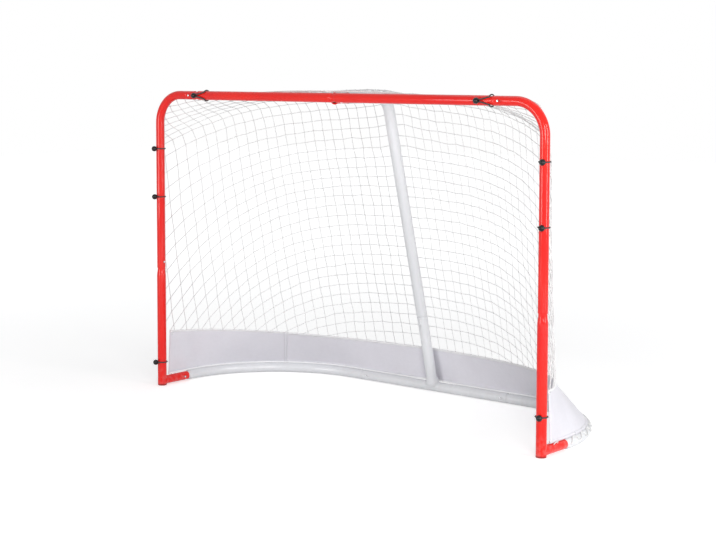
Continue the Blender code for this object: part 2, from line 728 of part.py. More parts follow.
def skirt_top(x):
    """Height of the skirt's top edge, which rises a little to the posts."""
    return SKIRT_BACK_TOP + (SKIRT_FRONT_TOP - SKIRT_BACK_TOP) * min(1.0, abs(x) / POST_X) ** 2


def search(span, is_before):
    """The value in a span up to which is_before holds, by halving."""
    low, high = span
    for attempt in range(SEARCH_STEPS):
        middle = (low + high) / 2
        if is_before(middle):
            low = middle
        else:
            high = middle
    return low


def last_row(share):
    """The row on which the net meets the skirt's top edge."""

    def above_skirt(row):
        point = net_point(row, share)
        return point.z > skirt_top(point.x)

    return search(LAST_ROW_SPAN, above_skirt)


def strand_edges(first, last, scale, seams):
    """Both edges of each strand between two lines, short of a panel's seams with the next."""
    half_width = TWINE_WIDTH / 2 * scale
    start = first + NET_SEAM_GAP * scale * seams[0]
    stop = last - NET_SEAM_GAP * scale * seams[1]
    edges = []
    for line in range(first, last + 1):
        edges += [max(start, line - half_width), min(stop, line + half_width)]
    return edges


def lattice(points_at, across, down):
    """A flat mesh of crossing strands, with a hole in each cell between them."""
    shape = bmesh.new()
    grid = [[shape.verts.new(points_at(a, d)) for a in across] for d in down]
    for j in range(len(down) - 1):
        for i in range(len(across) - 1):
            if i % 2 == 1 and j % 2 == 1:
                continue
            shape.faces.new((grid[j][i], grid[j][i + 1], grid[j + 1][i + 1], grid[j + 1][i]))
    return shape


def thicken(thing, thickness):
    """Give a flat mesh its thickness, half on each side."""
    step = thing.modifiers.new("thickness", "SOLIDIFY")
    step.thickness = thickness
    step.offset = 0.0
    step.use_even_offset = False


def row_of_line(line, share):
    """Row of the net under a line of the lattice, counted from the crossbar."""
    if line <= NET_TOP_LINES:
        return NET_RIDGE_LENGTH * line / NET_TOP_LINES
    below = (line - NET_TOP_LINES) / NET_BACK_LINES
    return NET_RIDGE_LENGTH + (last_row(share) - NET_RIDGE_LENGTH) * below


def net_panel(maker, name, shares, columns, lines, side_seams, line_seams):
    """One panel of the net between two shares and two lines of the lattice."""
    share_from, share_to = shares
    width = POST_X * abs(share_to - share_from)
    spacing = NET_RIDGE_LENGTH / NET_TOP_LINES
    across = strand_edges(0, columns, columns / width, side_seams)
    down = strand_edges(lines[0], lines[1], 1 / spacing, line_seams)

    def place(column, line):
        share = share_from + (share_to - share_from) * column / columns
        return net_point(row_of_line(line, share), share)

    thicken(maker.piece(name, lattice(place, across, down), NET_TWINE), TWINE_THICKNESS)


def net(maker):
    """The net's top, back and two sides."""
    crease = NET_CREASE_SHARE
    bottom = NET_TOP_LINES + NET_BACK_LINES
    middle = (-crease, crease)
    net_panel(maker, "net_top", middle, NET_BACK_COLUMNS, (0, NET_TOP_LINES), (1, 1), (1, 1))
    net_panel(maker, "net_back", middle, NET_BACK_COLUMNS, (NET_TOP_LINES, bottom), (1, 1), (1, 0))
    for side, sign in SIDES:
        outer = (sign * crease, sign * 1.0)
        net_panel(maker, "net_side_" + side, outer, NET_SIDE_COLUMNS, (0, bottom), (1, 0), (1, 0))


def skirt_front_share():
    """Share at which the net's lower edge reaches the skirt's front edge."""
    return search(FRONT_SHARE_SPAN, lambda share: net_point(last_row(share), share).y > SKIRT_FRONT_Y)


def base_path(distance):
    """Point above the base tube's axis, a distance from its middle towards a stub."""
    if distance < BASE_ARC_X:
        return Vector((distance, BASE_REAR_Y, 0))
    bend = (distance - BASE_ARC_X) / BASE_BEND_RADIUS
    if bend < math.pi / 2:
        return Vector((BASE_ARC_X + BASE_BEND_RADIUS * math.sin(bend),
                       BASE_ARC_Y + BASE_BEND_RADIUS * math.cos(bend), 0))
    run = distance - BASE_ARC_X - BASE_BEND_RADIUS * math.pi / 2
    return Vector((POST_X, BASE_ARC_Y - run, 0))


def skirt_panel(maker, name, share_from, share_to, front_share):
    """One panel of the skirt, between the net's lower edge and the base tube."""
    length = BASE_ARC_X + BASE_BEND_RADIUS * math.pi / 2 + BASE_ARC_Y - SKIRT_FRONT_Y
    bottom_z = BASE_Z + BASE_R + GAP + SKIRT_THICKNESS / 2
    shape = bmesh.new()
    grid = []
    for index in range(SKIRT_COLUMNS + 1):
        share = share_from + (share_to - share_from) * index / SKIRT_COLUMNS
        edge = abs(share) * front_share
        top = net_point(last_row(edge), math.copysign(edge, share))
        top.z -= NET_SKIRT_GAP
        low = base_path(abs(share) * length)
        low.y += SKIRT_FOOT_BULGE * max(0.0, 1 - low.x / SKIRT_FOOT_HALF)
        low.x = math.copysign(low.x, share)
        low.z = bottom_z
        column = [shape.verts.new(top.lerp(low, row / SKIRT_ROWS)) for row in range(SKIRT_ROWS + 1)]
        grid.append(column)
    for first, second in zip(grid, grid[1:]):
        for row in range(SKIRT_ROWS):
            shape.faces.new((first[row], first[row + 1], second[row + 1], second[row]))
    thicken(maker.piece(name, shape, SKIRT_CLOTH), SKIRT_THICKNESS)


def skirt(maker):
    """The skirt's back panel and two sides."""
    front_share = skirt_front_share()
    seam = SKIRT_SEAM_SHARE
    skirt_panel(maker, "skirt_back", -seam, seam, front_share)
    for side, sign in SIDES:
        skirt_panel(maker, "skirt_side_" + side, sign * (seam + NET_SEAM_GAP), sign * 1.0, front_share)


def lacing(maker, side, sign):
    """Cord that zigzags over the outside of the base tube's bend."""
    length = BASE_BEND_RADIUS * math.pi / 2
    waves = int(length / LACE_PITCH)
    reach = BASE_R + LACE_GAP + LACE_DIAMETER / 2
    steps = LACE_WAVE_STEPS * waves
    points = []
    for index in range(steps + 1):
        bend = math.pi / 2 * index / steps
        wave = (1 - math.cos(2 * math.pi * index / LACE_WAVE_STEPS)) / 2
        lift = LACE_LOW_ANGLE + (LACE_HIGH_ANGLE - LACE_LOW_ANGLE) * wave
        spoke = BASE_BEND_RADIUS + reach * math.cos(lift)
        points.append(Vector((
            sign * (BASE_ARC_X + spoke * math.sin(bend)),
            BASE_ARC_Y + spoke * math.cos(bend),
            BASE_Z + reach * math.sin(lift),
        )))
    maker.piece("lacing_" + side, cord(points, LACE_DIAMETER / 2, LACE_SIDES), NET_TWINE)


def lace_hook(maker, side, sign):
    """Bent wire hook that leans outwards from a floor stub."""
    foot = STUB_R + GAP + HOOK_LIFT
    points = []
    for index in range(HOOK_STEPS + 1):
        angle = math.pi * index / HOOK_STEPS
        reach = foot + HOOK_HEIGHT * math.sin(angle)
        points.append(Vector((
            sign * (POST_X + reach * math.sin(HOOK_LEAN)),
            HOOK_Y - HOOK_SPAN / 2 * math.cos(angle),
            BASE_Z + reach * math.cos(HOOK_LEAN),
        )))
    maker.piece("lace_hook_" + side, cord(points, HOOK_WIRE / 2, HOOK_SIDES), COATED_WIRE)


def build():
    """Make every piece of the goal."""
    clear_scene()
    maker = Maker(make_frame())
    pipes = {}
    for side, sign in SIDES:
        pipes["post_" + side], pipes["stub_" + side] = post_foot(maker, side, sign)
        pipes["corner_" + side] = corner_tube(maker, side, sign)
        pipes["bar_" + side] = crossbar_half(maker, side, sign)
        pipes["base_" + side] = base_side(maker, side, sign)
        lacing(maker, side, sign)
        lace_hook(maker, side, sign)
    support_spigot(maker)
    pipes["arm"] = support_arm(maker)
    pipes["prop"] = support_prop(maker)
    pipes["base_centre"] = base_centre(maker)
    snap_clips(maker, pipes)
    ball_ties(maker)
    net(maker)
    skirt(maker)


build()
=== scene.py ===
"""Looks of the street hockey goal: tubes, net, skirt, ties, clips, finishes, light and camera.

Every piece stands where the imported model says, in metres, with Z up, the mouth
facing -Y and the middle of the footprint on the origin.
"""

import logging
import math
from dataclasses import dataclass, field
from enum import Enum
from typing import Callable, Sequence

import bmesh
import bpy
import numpy as np
from mathutils import Matrix, Vector


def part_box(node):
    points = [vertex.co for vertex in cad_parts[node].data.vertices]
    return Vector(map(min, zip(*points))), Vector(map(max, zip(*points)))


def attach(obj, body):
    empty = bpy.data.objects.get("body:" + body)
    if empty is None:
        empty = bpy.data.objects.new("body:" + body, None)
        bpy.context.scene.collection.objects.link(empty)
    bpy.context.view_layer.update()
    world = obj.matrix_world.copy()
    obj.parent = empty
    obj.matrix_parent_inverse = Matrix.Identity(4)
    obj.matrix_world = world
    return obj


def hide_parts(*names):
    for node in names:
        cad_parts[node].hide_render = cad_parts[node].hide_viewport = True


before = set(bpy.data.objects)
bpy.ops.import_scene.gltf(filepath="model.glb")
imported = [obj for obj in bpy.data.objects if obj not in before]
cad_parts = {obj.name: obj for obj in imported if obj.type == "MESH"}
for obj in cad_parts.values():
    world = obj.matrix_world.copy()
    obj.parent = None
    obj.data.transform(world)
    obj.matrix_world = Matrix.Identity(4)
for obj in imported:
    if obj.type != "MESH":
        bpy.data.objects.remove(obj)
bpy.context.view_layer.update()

log = logging.getLogger("goal")
SIDES = (("left", -1), ("right", 1))
UP = Vector((0, 0, 1))
RIGHT = Vector((1, 0, 0))
BACK = Vector((0, 1, 0))
Ring = list[Vector]
Line = list[tuple[Vector, float]]


class Slot(Enum):
    """The material slots."""

    RED_PAINT = "red_paint"
    WHITE_PAINT = "white_paint"
    CAP_PLASTIC = "cap_plastic"
    TIE_BALL = "tie_ball"
    TIE_CORD = "tie_cord"
    NET_TWINE = "net_twine"
    SKIRT_CLOTH = "skirt_cloth"
    LACING_CORD = "lacing_cord"
    HOOK_WIRE = "hook_wire"
    BUTTON_STEEL = "button_steel"


# Shared sizes


@dataclass(frozen=True)
class Box:
    """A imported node's box."""

    low: Vector
    high: Vector

    @classmethod
    def of(cls, node: str) -> "Box":
        """Read the box of a node at rest."""
        low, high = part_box(node)
        return cls(Vector(low), Vector(high))

    @property
    def centre(self) -> Vector:
        """Middle of the box."""
        return (self.low + self.high) / 2

    @property
    def size(self) -> Vector:
        """Width, depth and height."""
        return self.high - self.low


@dataclass(frozen=True)
class GoalSizes:
    """Sizes that several sub-assemblies share."""

    post_x: float
    line_y: float
    post_r: float
    upper_r: float
    post_joint_z: float
    bar_z: float
    bar_r: float
    bar_joint_x: float
    middle_joint_x: float
    base_z: float
    base_r: float
    base_rear_y: float
    base_joint_x: float
    stub_r: float
    stub_end_y: float
    cap_top: float
    arm_r: float
    arm_z: float
    prop_r: float = 0.0218
    wall: float = 0.0015
    plug_gap: float = 0.0003
    neck_length: float = 0.06
    corner_radius: float = 0.118
    base_bend_radius: float = 0.505
    arm_corner_y: float = 0.3402
    arm_bend_radius: float = 0.08
    prop_joint_z: float = 0.325

    @classmethod
    def from_frame(cls) -> "GoalSizes":
        """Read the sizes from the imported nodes' boxes."""
        post = Box.of("lower_post_right")
        corner = Box.of("corner_tube_right")
        bar = Box.of("crossbar_right")
        rear = Box.of("base_centre")
        stub = Box.of("floor_stub_right")
        arm = Box.of("support_arm")
        return cls(
            post_x=post.centre.x,
            line_y=post.centre.y,
            post_r=post.size.x / 2,
            upper_r=corner.size.y / 2,
            post_joint_z=corner.low.z,
            bar_z=bar.centre.z,
            bar_r=bar.size.z / 2,
            bar_joint_x=corner.low.x,
            middle_joint_x=bar.low.x,
            base_z=rear.centre.z,
            base_r=rear.size.z / 2,
            base_rear_y=rear.centre.y,
            base_joint_x=rear.high.x,
            stub_r=stub.size.x / 2,
            stub_end_y=stub.high.y,
            cap_top=post.low.z,
            arm_r=arm.size.x / 2,
            arm_z=Box.of("support_spigot").centre.z,
        )

    def neck(self, outer_r: float) -> float:
        """Outer radius of the neck that plugs into a tube of an outer radius."""
        return outer_r - self.wall - self.plug_gap

    def at(self, x: float, y: float, z: float) -> Vector:
        """A point given by its depth behind the goal line, in the frame's place."""
        return Vector((x, y + self.line_y, z))

    def on_post(self, sign: int, height: float) -> Vector:
        """A point on a post's axis."""
        return self.at(sign * self.post_x, 0, height)

    def on_bar(self, x: float) -> Vector:
        """A point on the crossbar's axis."""
        return self.at(x, 0, self.bar_z)

    def on_base(self, x: float, y: float) -> Vector:
        """A point at the height of the base tube's axis."""
        return Vector((x, y, self.base_z))

    @property
    def rear_depth(self) -> float:
        """Depth of the base tube's rear axis behind the goal line."""
        return self.base_rear_y - self.line_y

    @property
    def leg_slope(self) -> float:
        """Depth that the leg gains for each metre that it falls."""
        return (self.rear_depth - self.arm_corner_y) / (self.arm_z - self.base_z)

    @property
    def leg_angle(self) -> float:
        """Lean of the leg from upright."""
        return math.atan(self.leg_slope)

    @property
    def leg_down(self) -> Vector:
        """Direction down the leg."""
        return Vector((0, math.sin(self.leg_angle), -math.cos(self.leg_angle)))

    def leg_depth(self, height: float) -> float:
        """Depth of the leg's axis at a height."""
        return self.arm_corner_y + self.leg_slope * (self.arm_z - height)

    @property
    def leg_joint(self) -> Vector:
        """Where the support's two tubes meet."""
        return self.at(0, self.leg_depth(self.prop_joint_z), self.prop_joint_z)


# Node trees


class Graph:
    """Short ways to add and join the nodes of a tree."""

    def __init__(self, tree: bpy.types.NodeTree) -> None:
        """Keep the tree to work on."""
        self.tree = tree

    def add(self, kind: str, inputs: dict[str | int, object] | None = None,
            **settings: object) -> bpy.types.Node:
        """Add a node.

        Args:
            kind: The node's class name.
            inputs: Values or sockets for its inputs, by name or number.
            **settings: Values for the node's own properties.

        Returns:
            The new node.
        """
        node = self.tree.nodes.new(kind)
        for name, value in settings.items():
            setattr(node, name, value)
        self.fill(node, inputs or {})
        return node

    def fill(self, node: bpy.types.Node, inputs: dict[str | int, object]) -> None:
        """Put a value or a link on each of a node's named inputs."""
        for key, value in inputs.items():
            self.put(node.inputs[key], value)

    def put(self, socket: bpy.types.NodeSocket, value: object) -> None:
        """Link a socket to another, or set its value.

        Args:
            socket: The input.
            value: The socket that feeds it, or its value.
        """
        if isinstance(value, bpy.types.NodeSocket):
            self.tree.links.new(value, socket)
        else:
            socket.default_value = value

    def math(self, operation: str, *values: object) -> bpy.types.NodeSocket:
        """Add a maths node and give its result."""
        return self.add("ShaderNodeMath", dict(enumerate(values)), operation=operation).outputs[0]

    def noise(self, vector: object, scale: float, detail: float) -> bpy.types.NodeSocket:
        """Add a noise texture and give its value."""
        inputs = {"Vector": vector, "Scale": scale, "Detail": detail}
        return self.add("ShaderNodeTexNoise", inputs).outputs["Fac"]

    def ramp(self, value: object, low: float, high: float, start: float,
             end: float) -> bpy.types.NodeSocket:
        """Stretch values from low..high to start..end, clamped."""
        inputs = {"Value": value, "From Min": low, "From Max": high, "To Min": start, "To Max": end}
        return self.add("ShaderNodeMapRange", inputs).outputs["Result"]

    def mix(self, factor: object, first: object, second: object) -> bpy.types.NodeSocket:
        """Mix two colours and give the result."""
        inputs = {0: factor, 6: first, 7: second}
        return self.add("ShaderNodeMix", inputs, data_type="RGBA").outputs[2]

    def split(self, vector: object) -> Sequence[bpy.types.NodeSocket]:
        """The three parts of a vector."""
        return self.add("ShaderNodeSeparateXYZ", {0: vector}).outputs


def shader_group(name: str, inputs: Sequence[tuple[str, str, object]],
                 outputs: Sequence[tuple[str, str]],
                 fill: Callable[[Graph, dict, dict], None]) -> bpy.types.NodeTree:
    """Make a shared group of shader nodes once.

    Args:
        name: The group's name.
        inputs: Name, socket type and default value of each input.
        outputs: Name and socket type of each output.
        fill: Builds the nodes between the given input and output sockets.

    Returns:
        The group's tree.
    """
    tree = bpy.data.node_groups.get(name)
    if tree:
        return tree
    tree = bpy.data.node_groups.new(name, "ShaderNodeTree")
    for label, kind, value in inputs:
        socket = tree.interface.new_socket(label, in_out="INPUT", socket_type=kind)
        if value is not None:
            socket.default_value = value
    for label, kind in outputs:
        tree.interface.new_socket(label, in_out="OUTPUT", socket_type=kind)
    graph = Graph(tree)
    source = graph.add("NodeGroupInput")
    sink = graph.add("NodeGroupOutput")
    fill(graph, source.outputs, sink.inputs)
    return tree


FLOAT = "NodeSocketFloat"
COLOUR = "NodeSocketColor"
VECTOR = "NodeSocketVector"
TONES = [("Place", VECTOR, None), ("Deep", COLOUR, None), ("Bright", COLOUR, None)]


def paint_skin() -> bpy.types.NodeTree:
    """Group for sprayed paint: its ripple, its change of tone and the dull spots on it."""

    def fill(graph: Graph, given: dict, out: dict) -> None:
        """Join the group's nodes."""
        broad = graph.noise(given["Place"], 3.1, 3.0)
        dull = graph.noise(given["Place"], 37.0, 4.0)
        tone = graph.ramp(broad, 0.35, 0.65, 0.0, 1.0)
        graph.put(out["Colour"], graph.mix(tone, given["Deep"], given["Bright"]))
        spread = graph.ramp(dull, 0.42, 0.7, 0.0, given["Dullness"])
        graph.put(out["Roughness"], graph.math("ADD", given["Roughness"], spread))
        graph.put(out["Height"], graph.noise(given["Place"], 420.0, 1.0))

    return shader_group("paint_skin", [*TONES, ("Roughness", FLOAT, 0.3), ("Dullness", FLOAT, 0.1)],
                        [("Colour", COLOUR), ("Roughness", FLOAT), ("Height", FLOAT)], fill)


def yarn_twist() -> bpy.types.NodeTree:
    """Group for twisted or braided yarn, from a place given as turns and length, with painted shade in its
    grooves.
    """

    def fill(graph: Graph, given: dict, out: dict) -> None:
        """Join the group's nodes."""
        place = graph.split(given["Place"])
        around = graph.math("MULTIPLY", place[0], given["Strands"])
        along = graph.math("DIVIDE", place[1], given["Lay"])
        right = graph.math("SINE", graph.math("MULTIPLY", graph.math("ADD", around, along), math.tau))
        left = graph.math("SINE", graph.math("MULTIPLY", graph.math("SUBTRACT", around, along), math.tau))
        braided = graph.math("MULTIPLY", graph.math("MAXIMUM", right, left), given["Braid"])
        twisted = graph.math("MULTIPLY", right, graph.math("SUBTRACT", 1.0, given["Braid"]))
        height = graph.ramp(graph.math("ADD", braided, twisted), -1.0, 1.0, 0.0, 1.0)
        graph.put(out["Height"], height)
        # The colour runs from the shaded groove colour in the hollows of the twist, which is painted shade,
        # to the crown colour, the yarn's own.
        graph.put(out["Colour"], graph.mix(height, given["Groove"], given["Crown"]))

    return shader_group(
        "yarn_twist",
        [("Place", VECTOR, None), ("Groove", COLOUR, None), ("Crown", COLOUR, None),
         ("Strands", FLOAT, 3.0), ("Lay", FLOAT, 0.01), ("Braid", FLOAT, 0.0)],
        [("Colour", COLOUR), ("Height", FLOAT)], fill)


def plain_weave() -> bpy.types.NodeTree:
    """Group for woven cloth, from a place given in metres of cloth."""

    def fill(graph: Graph, given: dict, out: dict) -> None:
        """Join the group's nodes."""
        place = graph.split(given["Place"])
        warp = graph.math("SINE", graph.math("DIVIDE", place[0], given["Pitch"]))
        weft = graph.math("SINE", graph.math("DIVIDE", place[1], given["Pitch"]))
        slub = graph.math("MULTIPLY", graph.noise(given["Place"], 60.0, 3.0), 0.35)
        broad = graph.noise(given["Place"], 4.0, 2.0)
        tone = graph.ramp(graph.math("ADD", slub, broad), 0.45, 0.9, 0.0, 1.0)
        graph.put(out["Colour"], graph.mix(tone, given["Deep"], given["Bright"]))
        cross = graph.math("MULTIPLY", warp, weft)
        graph.put(out["Height"], graph.ramp(cross, -1.0, 1.0, 0.0, 1.0))

    return shader_group("plain_weave", [*TONES, ("Pitch", FLOAT, 0.0004)],
                        [("Colour", COLOUR), ("Height", FLOAT)], fill)


def floor_dust() -> bpy.types.NodeTree:
    """Group for the dust that gathers near the floor and in patches."""

    def fill(graph: Graph, given: dict, out: dict) -> None:
        """Join the group's nodes."""
        low = graph.ramp(graph.split(given["Place"])[2], 0.0, given["Height"], 1.0, 0.0)
        patch = graph.ramp(graph.noise(given["Place"], 55.0, 5.0), 0.45, 0.75, 0.0, 1.0)
        mask = graph.math("MULTIPLY", graph.math("MULTIPLY", low, patch), given["Amount"])
        graph.put(out["Colour"], graph.mix(mask, given["Colour"], given["Dust"]))

    return shader_group(
        "floor_dust",
        [("Place", VECTOR, None), ("Colour", COLOUR, None), ("Dust", COLOUR, None),
         ("Height", FLOAT, 0.1), ("Amount", FLOAT, 0.3)],
        [("Colour", COLOUR)], fill)


def metal_grain() -> bpy.types.NodeTree:
    """Group for plated or bare steel: drawn lines and a change of gloss."""

    def fill(graph: Graph, given: dict, out: dict) -> None:
        """Join the group's nodes."""
        drawn = graph.add("ShaderNodeMapping", {"Vector": given["Place"], "Scale": (1.0, 1.0, 0.06)})
        lines = graph.noise(drawn.outputs[0], 900.0, 2.0)
        spots = graph.noise(given["Place"], 180.0, 3.0)
        graph.put(out["Colour"], graph.mix(spots, given["Deep"], given["Bright"]))
        graph.put(out["Roughness"], graph.ramp(lines, 0.3, 0.7, given["Smooth"], given["Rough"]))
        graph.put(out["Height"], lines)

    return shader_group("metal_grain", [*TONES, ("Smooth", FLOAT, 0.15), ("Rough", FLOAT, 0.35)],
                        [("Colour", COLOUR), ("Roughness", FLOAT), ("Height", FLOAT)], fill)


# Finishes

Colour = tuple[float, float, float, float]
DUST: Colour = (0.52, 0.50, 0.47, 1.0)
YARN_PLACE = "yarn_place"
FACING = "facing"


class Finish:
    """A named finish, which makes its material once."""

    name: str

    def material(self) -> bpy.types.Material:
        """Give the finish's material."""
        made = bpy.data.materials.get(self.name)
        if made:
            return made
        made = bpy.data.materials.new(self.name)
        made.use_nodes = True
        self.dress(Graph(made.node_tree), made.node_tree.nodes["Principled BSDF"])
        return made

    def dress(self, graph: Graph, shader: bpy.types.Node) -> None:
        """Fill the material's tree."""
        raise NotImplementedError

    @staticmethod
    def object_place(graph: Graph) -> bpy.types.NodeSocket:
        """The place on the object."""
        return graph.add("ShaderNodeTexCoord").outputs["Object"]

    @staticmethod
    def group(graph: Graph, tree: bpy.types.NodeTree, **values: object) -> Sequence[bpy.types.NodeSocket]:
        """Add a shared group with its own values and give its outputs."""
        return graph.add("ShaderNodeGroup", values, node_tree=tree).outputs

    @staticmethod
    def bump(graph: Graph, height: object, strength: float, depth: float) -> bpy.types.NodeSocket:
        """A normal that raises the surface by a height."""
        inputs = {"Height": height, "Strength": strength, "Distance": depth}
        return graph.add("ShaderNodeBump", inputs).outputs["Normal"]


@dataclass(frozen=True)
class SprayedPaint(Finish):
    """Gloss powder coat on a steel tube."""

    name: str
    deep: Colour
    bright: Colour
    roughness: float = 0.28
    dullness: float = 0.10
    coat: float = 0.35
    coat_roughness: float = 0.12
    ripple: float = 0.10
    dust: float = 0.25
    dust_height: float = 0.09
    gloss: float = 0.5

    def dress(self, graph: Graph, shader: bpy.types.Node) -> None:
        """Fill the material's tree."""
        place = self.object_place(graph)
        skin = self.group(graph, paint_skin(), Place=place, Deep=self.deep, Bright=self.bright,
                          Roughness=self.roughness, Dullness=self.dullness)
        dirt = self.group(graph, floor_dust(), Place=place, Colour=skin["Colour"], Dust=DUST,
                          Height=self.dust_height, Amount=self.dust)
        graph.fill(shader, {
            "Base Color": dirt["Colour"], "Roughness": skin["Roughness"],
            "Specular IOR Level": self.gloss, "Coat Weight": self.coat,
            "Coat Roughness": self.coat_roughness,
            "Normal": self.bump(graph, skin["Height"], self.ripple, 0.0002),
        })


@dataclass(frozen=True)
class Moulded(SprayedPaint):
    """Moulded plastic or rubber, with a fine grain, a change of gloss and no coat."""

    roughness: float = 0.35
    dullness: float = 0.15
    coat: float = 0.0
    ripple: float = 0.15
    dust: float = 0.1
    dust_height: float = 0.05


@dataclass(frozen=True)
class Yarn(Finish):
    """Twisted twine or braided cord, its colour darkened in the grooves of its twist as painted shade."""

    name: str
    shaded_groove: Colour
    crown: Colour
    strands: float
    lay: float
    braid: float
    roughness: float = 0.75
    relief: float = 0.5
    sheen: float = 0.15

    def dress(self, graph: Graph, shader: bpy.types.Node) -> None:
        """Fill the material's tree."""
        place = graph.add("ShaderNodeAttribute", attribute_name=YARN_PLACE).outputs["Vector"]
        twist = self.group(graph, yarn_twist(), Place=place, Groove=self.shaded_groove, Crown=self.crown,
                           Strands=self.strands, Lay=self.lay, Braid=self.braid)
        graph.fill(shader, {
            "Base Color": twist["Colour"], "Roughness": self.roughness, "Sheen Weight": self.sheen,
            "Normal": self.bump(graph, twist["Height"], self.relief, 0.0004),
        })


@dataclass(frozen=True)
class WovenCloth(Finish):
    """Woven polyester cloth or tape."""

    name: str
    deep: Colour
    bright: Colour
    pitch: float = 0.00022
    roughness: float = 0.62
    relief: float = 0.25
    sheen: float = 0.25
    dust: float = 0.15

    def dress(self, graph: Graph, shader: bpy.types.Node) -> None:
        """Fill the material's tree."""
        cloth = graph.add("ShaderNodeUVMap", uv_map="cloth").outputs["UV"]
        weave = self.group(graph, plain_weave(), Place=cloth, Deep=self.deep, Bright=self.bright,
                           Pitch=self.pitch)
        dirt = self.group(graph, floor_dust(), Place=self.object_place(graph), Dust=DUST,
                          Colour=weave["Colour"], Height=0.12, Amount=self.dust)
        graph.fill(shader, {
            "Base Color": dirt["Colour"], "Roughness": self.roughness, "Sheen Weight": self.sheen,
            "Normal": self.bump(graph, weave["Height"], self.relief, 0.0002),
        })


@dataclass(frozen=True)
class PlatedSteel(Finish):
    """Plated spring steel."""

    name: str
    deep: Colour
    bright: Colour
    smooth: float = 0.14
    rough: float = 0.32

    def dress(self, graph: Graph, shader: bpy.types.Node) -> None:
        """Fill the material's tree."""
        grain = self.group(graph, metal_grain(), Place=self.object_place(graph), Deep=self.deep,
                           Bright=self.bright, Smooth=self.smooth, Rough=self.rough)
        graph.fill(shader, {
            "Base Color": grain["Colour"], "Roughness": grain["Roughness"], "Metallic": 1.0,
            "Normal": self.bump(graph, grain["Height"], 0.08, 0.0001),
        })


RED_PAINT = SprayedPaint("red_powder_coat", (0.76, 0.006, 0.004, 1), (0.84, 0.014, 0.006, 1),
                         coat=0.6, coat_roughness=0.08, gloss=0.05)
WHITE_PAINT = SprayedPaint("white_powder_coat", (0.69, 0.70, 0.72, 1), (0.74, 0.75, 0.77, 1), dust=0.18)
TIE_RUBBER = Moulded("tie_ball_black", (0.005, 0.005, 0.006, 1), (0.010, 0.010, 0.011, 1), 0.10,
                     dullness=0.06, gloss=0.28)
# For each yarn the first colour is painted shade for the grooves of its twist and the second is its own
# colour.
TIE_BRAID = Yarn("tie_cord_black", (0.006, 0.006, 0.006, 1), (0.030, 0.030, 0.032, 1), 6.0, 0.006, 1.0)
NET_TWINE = Yarn("net_twine_white", (0.62, 0.62, 0.62, 1), (0.82, 0.82, 0.82, 1), 1.5, 0.006, 0.0)
LACING_BRAID = Yarn("lacing_white", (0.62, 0.62, 0.61, 1), (0.86, 0.86, 0.85, 1), 6.0, 0.006, 1.0)
EDGE_ROPE = Yarn("edge_rope_white", (0.70, 0.70, 0.70, 1), (0.90, 0.90, 0.90, 1), 1.5, 0.009, 0.0)
FOOT_BRAID = Yarn("foot_cord_white", (0.86, 0.86, 0.87, 1), (0.94, 0.94, 0.95, 1), 6.0, 0.006, 1.0,
                  relief=0.3)
SKIRT_CLOTH = WovenCloth("skirt_cloth_grey", (0.69, 0.68, 0.73, 1), (0.75, 0.74, 0.79, 1))
HEM_TAPE = WovenCloth("hem_tape_white", (0.78, 0.78, 0.79, 1), (0.84, 0.84, 0.85, 1), 0.0003)
THREAD = Moulded("sewing_thread", (0.74, 0.74, 0.75, 1), (0.82, 0.82, 0.83, 1), 0.6)
CLIP_STEEL = PlatedSteel("clip_steel", (0.50, 0.50, 0.52, 1), (0.72, 0.72, 0.74, 1))
GROMMET_STEEL = PlatedSteel("grommet_steel", (0.42, 0.42, 0.43, 1), (0.62, 0.62, 0.63, 1), 0.2, 0.4)
CAP_PLASTIC = Moulded("cap_plastic_red", (0.30, 0.008, 0.006, 1), (0.38, 0.014, 0.010, 1), 0.5)
HOOK_PAINT = SprayedPaint("hook_paint_white", (0.72, 0.72, 0.72, 1), (0.78, 0.78, 0.78, 1))
PAINTS = {Slot.RED_PAINT: RED_PAINT, Slot.WHITE_PAINT: WHITE_PAINT}


# Meshes


def unit_turn(path: Sequence[Vector]) -> Ring:
    """Directions along a path."""
    last = len(path) - 1
    return [(path[min(i + 1, last)] - path[max(i - 1, 0)]).normalized() for i in range(last + 1)]


def lengths(path: Sequence[Vector]) -> list[float]:
    """Length along a path up to each of its points.

    Args:
        path: The path's points.

    Returns:
        One length for each point, from nought.
    """
    total = [0.0]
    for before, after in zip(path, path[1:]):
        total.append(total[-1] + (after - before).length)
    return total


def arc(centre: Vector, start: Vector, axis: Vector, angle: float, steps: int) -> Ring:
    """Points of an arc from its start, turned about an axis through its centre."""
    spoke = start - centre
    return [centre + Matrix.Rotation(angle * i / steps, 3, axis) @ spoke for i in range(steps + 1)]


def rim(radius: float, steps: int, place: Callable[[float, float], Vector]) -> Ring:
    """Points round a circle, each placed from its two offsets."""
    turns = [math.tau * index / steps for index in range(steps)]
    return [place(radius * math.cos(turn), radius * math.sin(turn)) for turn in turns]


def boundary(low: float, high: float, steps: int, holds: Callable[[float], bool]) -> tuple[float, float]:
    """Halve a span down to where a test stops holding.

    Args:
        low: End of the span where the test holds.
        high: End of the span where it doesn't.
        steps: How often the span is halved.
        holds: The test.

    Returns:
        The ends of the last span.
    """
    for _ in range(steps):
        middle = (low + high) / 2
        if holds(middle):
            low = middle
        else:
            high = middle
    return low, high


def placed(name: str, mesh: bpy.types.Mesh) -> bpy.types.Object:
    """Put a mesh into the scene as an object at the origin.

    Args:
        name: The object's name.
        mesh: Its mesh, in place.

    Returns:
        The object.
    """
    thing = bpy.data.objects.new(name, mesh)
    bpy.context.scene.collection.objects.link(thing)
    return thing


def finished(name: str, mesh: bpy.types.Mesh, finish: Finish) -> bpy.types.Object:
    """Make a piece at the origin from a mesh.

    Args:
        name: The piece's name.
        mesh: Its mesh, in place.
        finish: Its finish.

    Returns:
        The piece.
    """
    mesh.materials.clear()
    mesh.materials.append(finish.material())
    return placed(name, mesh)


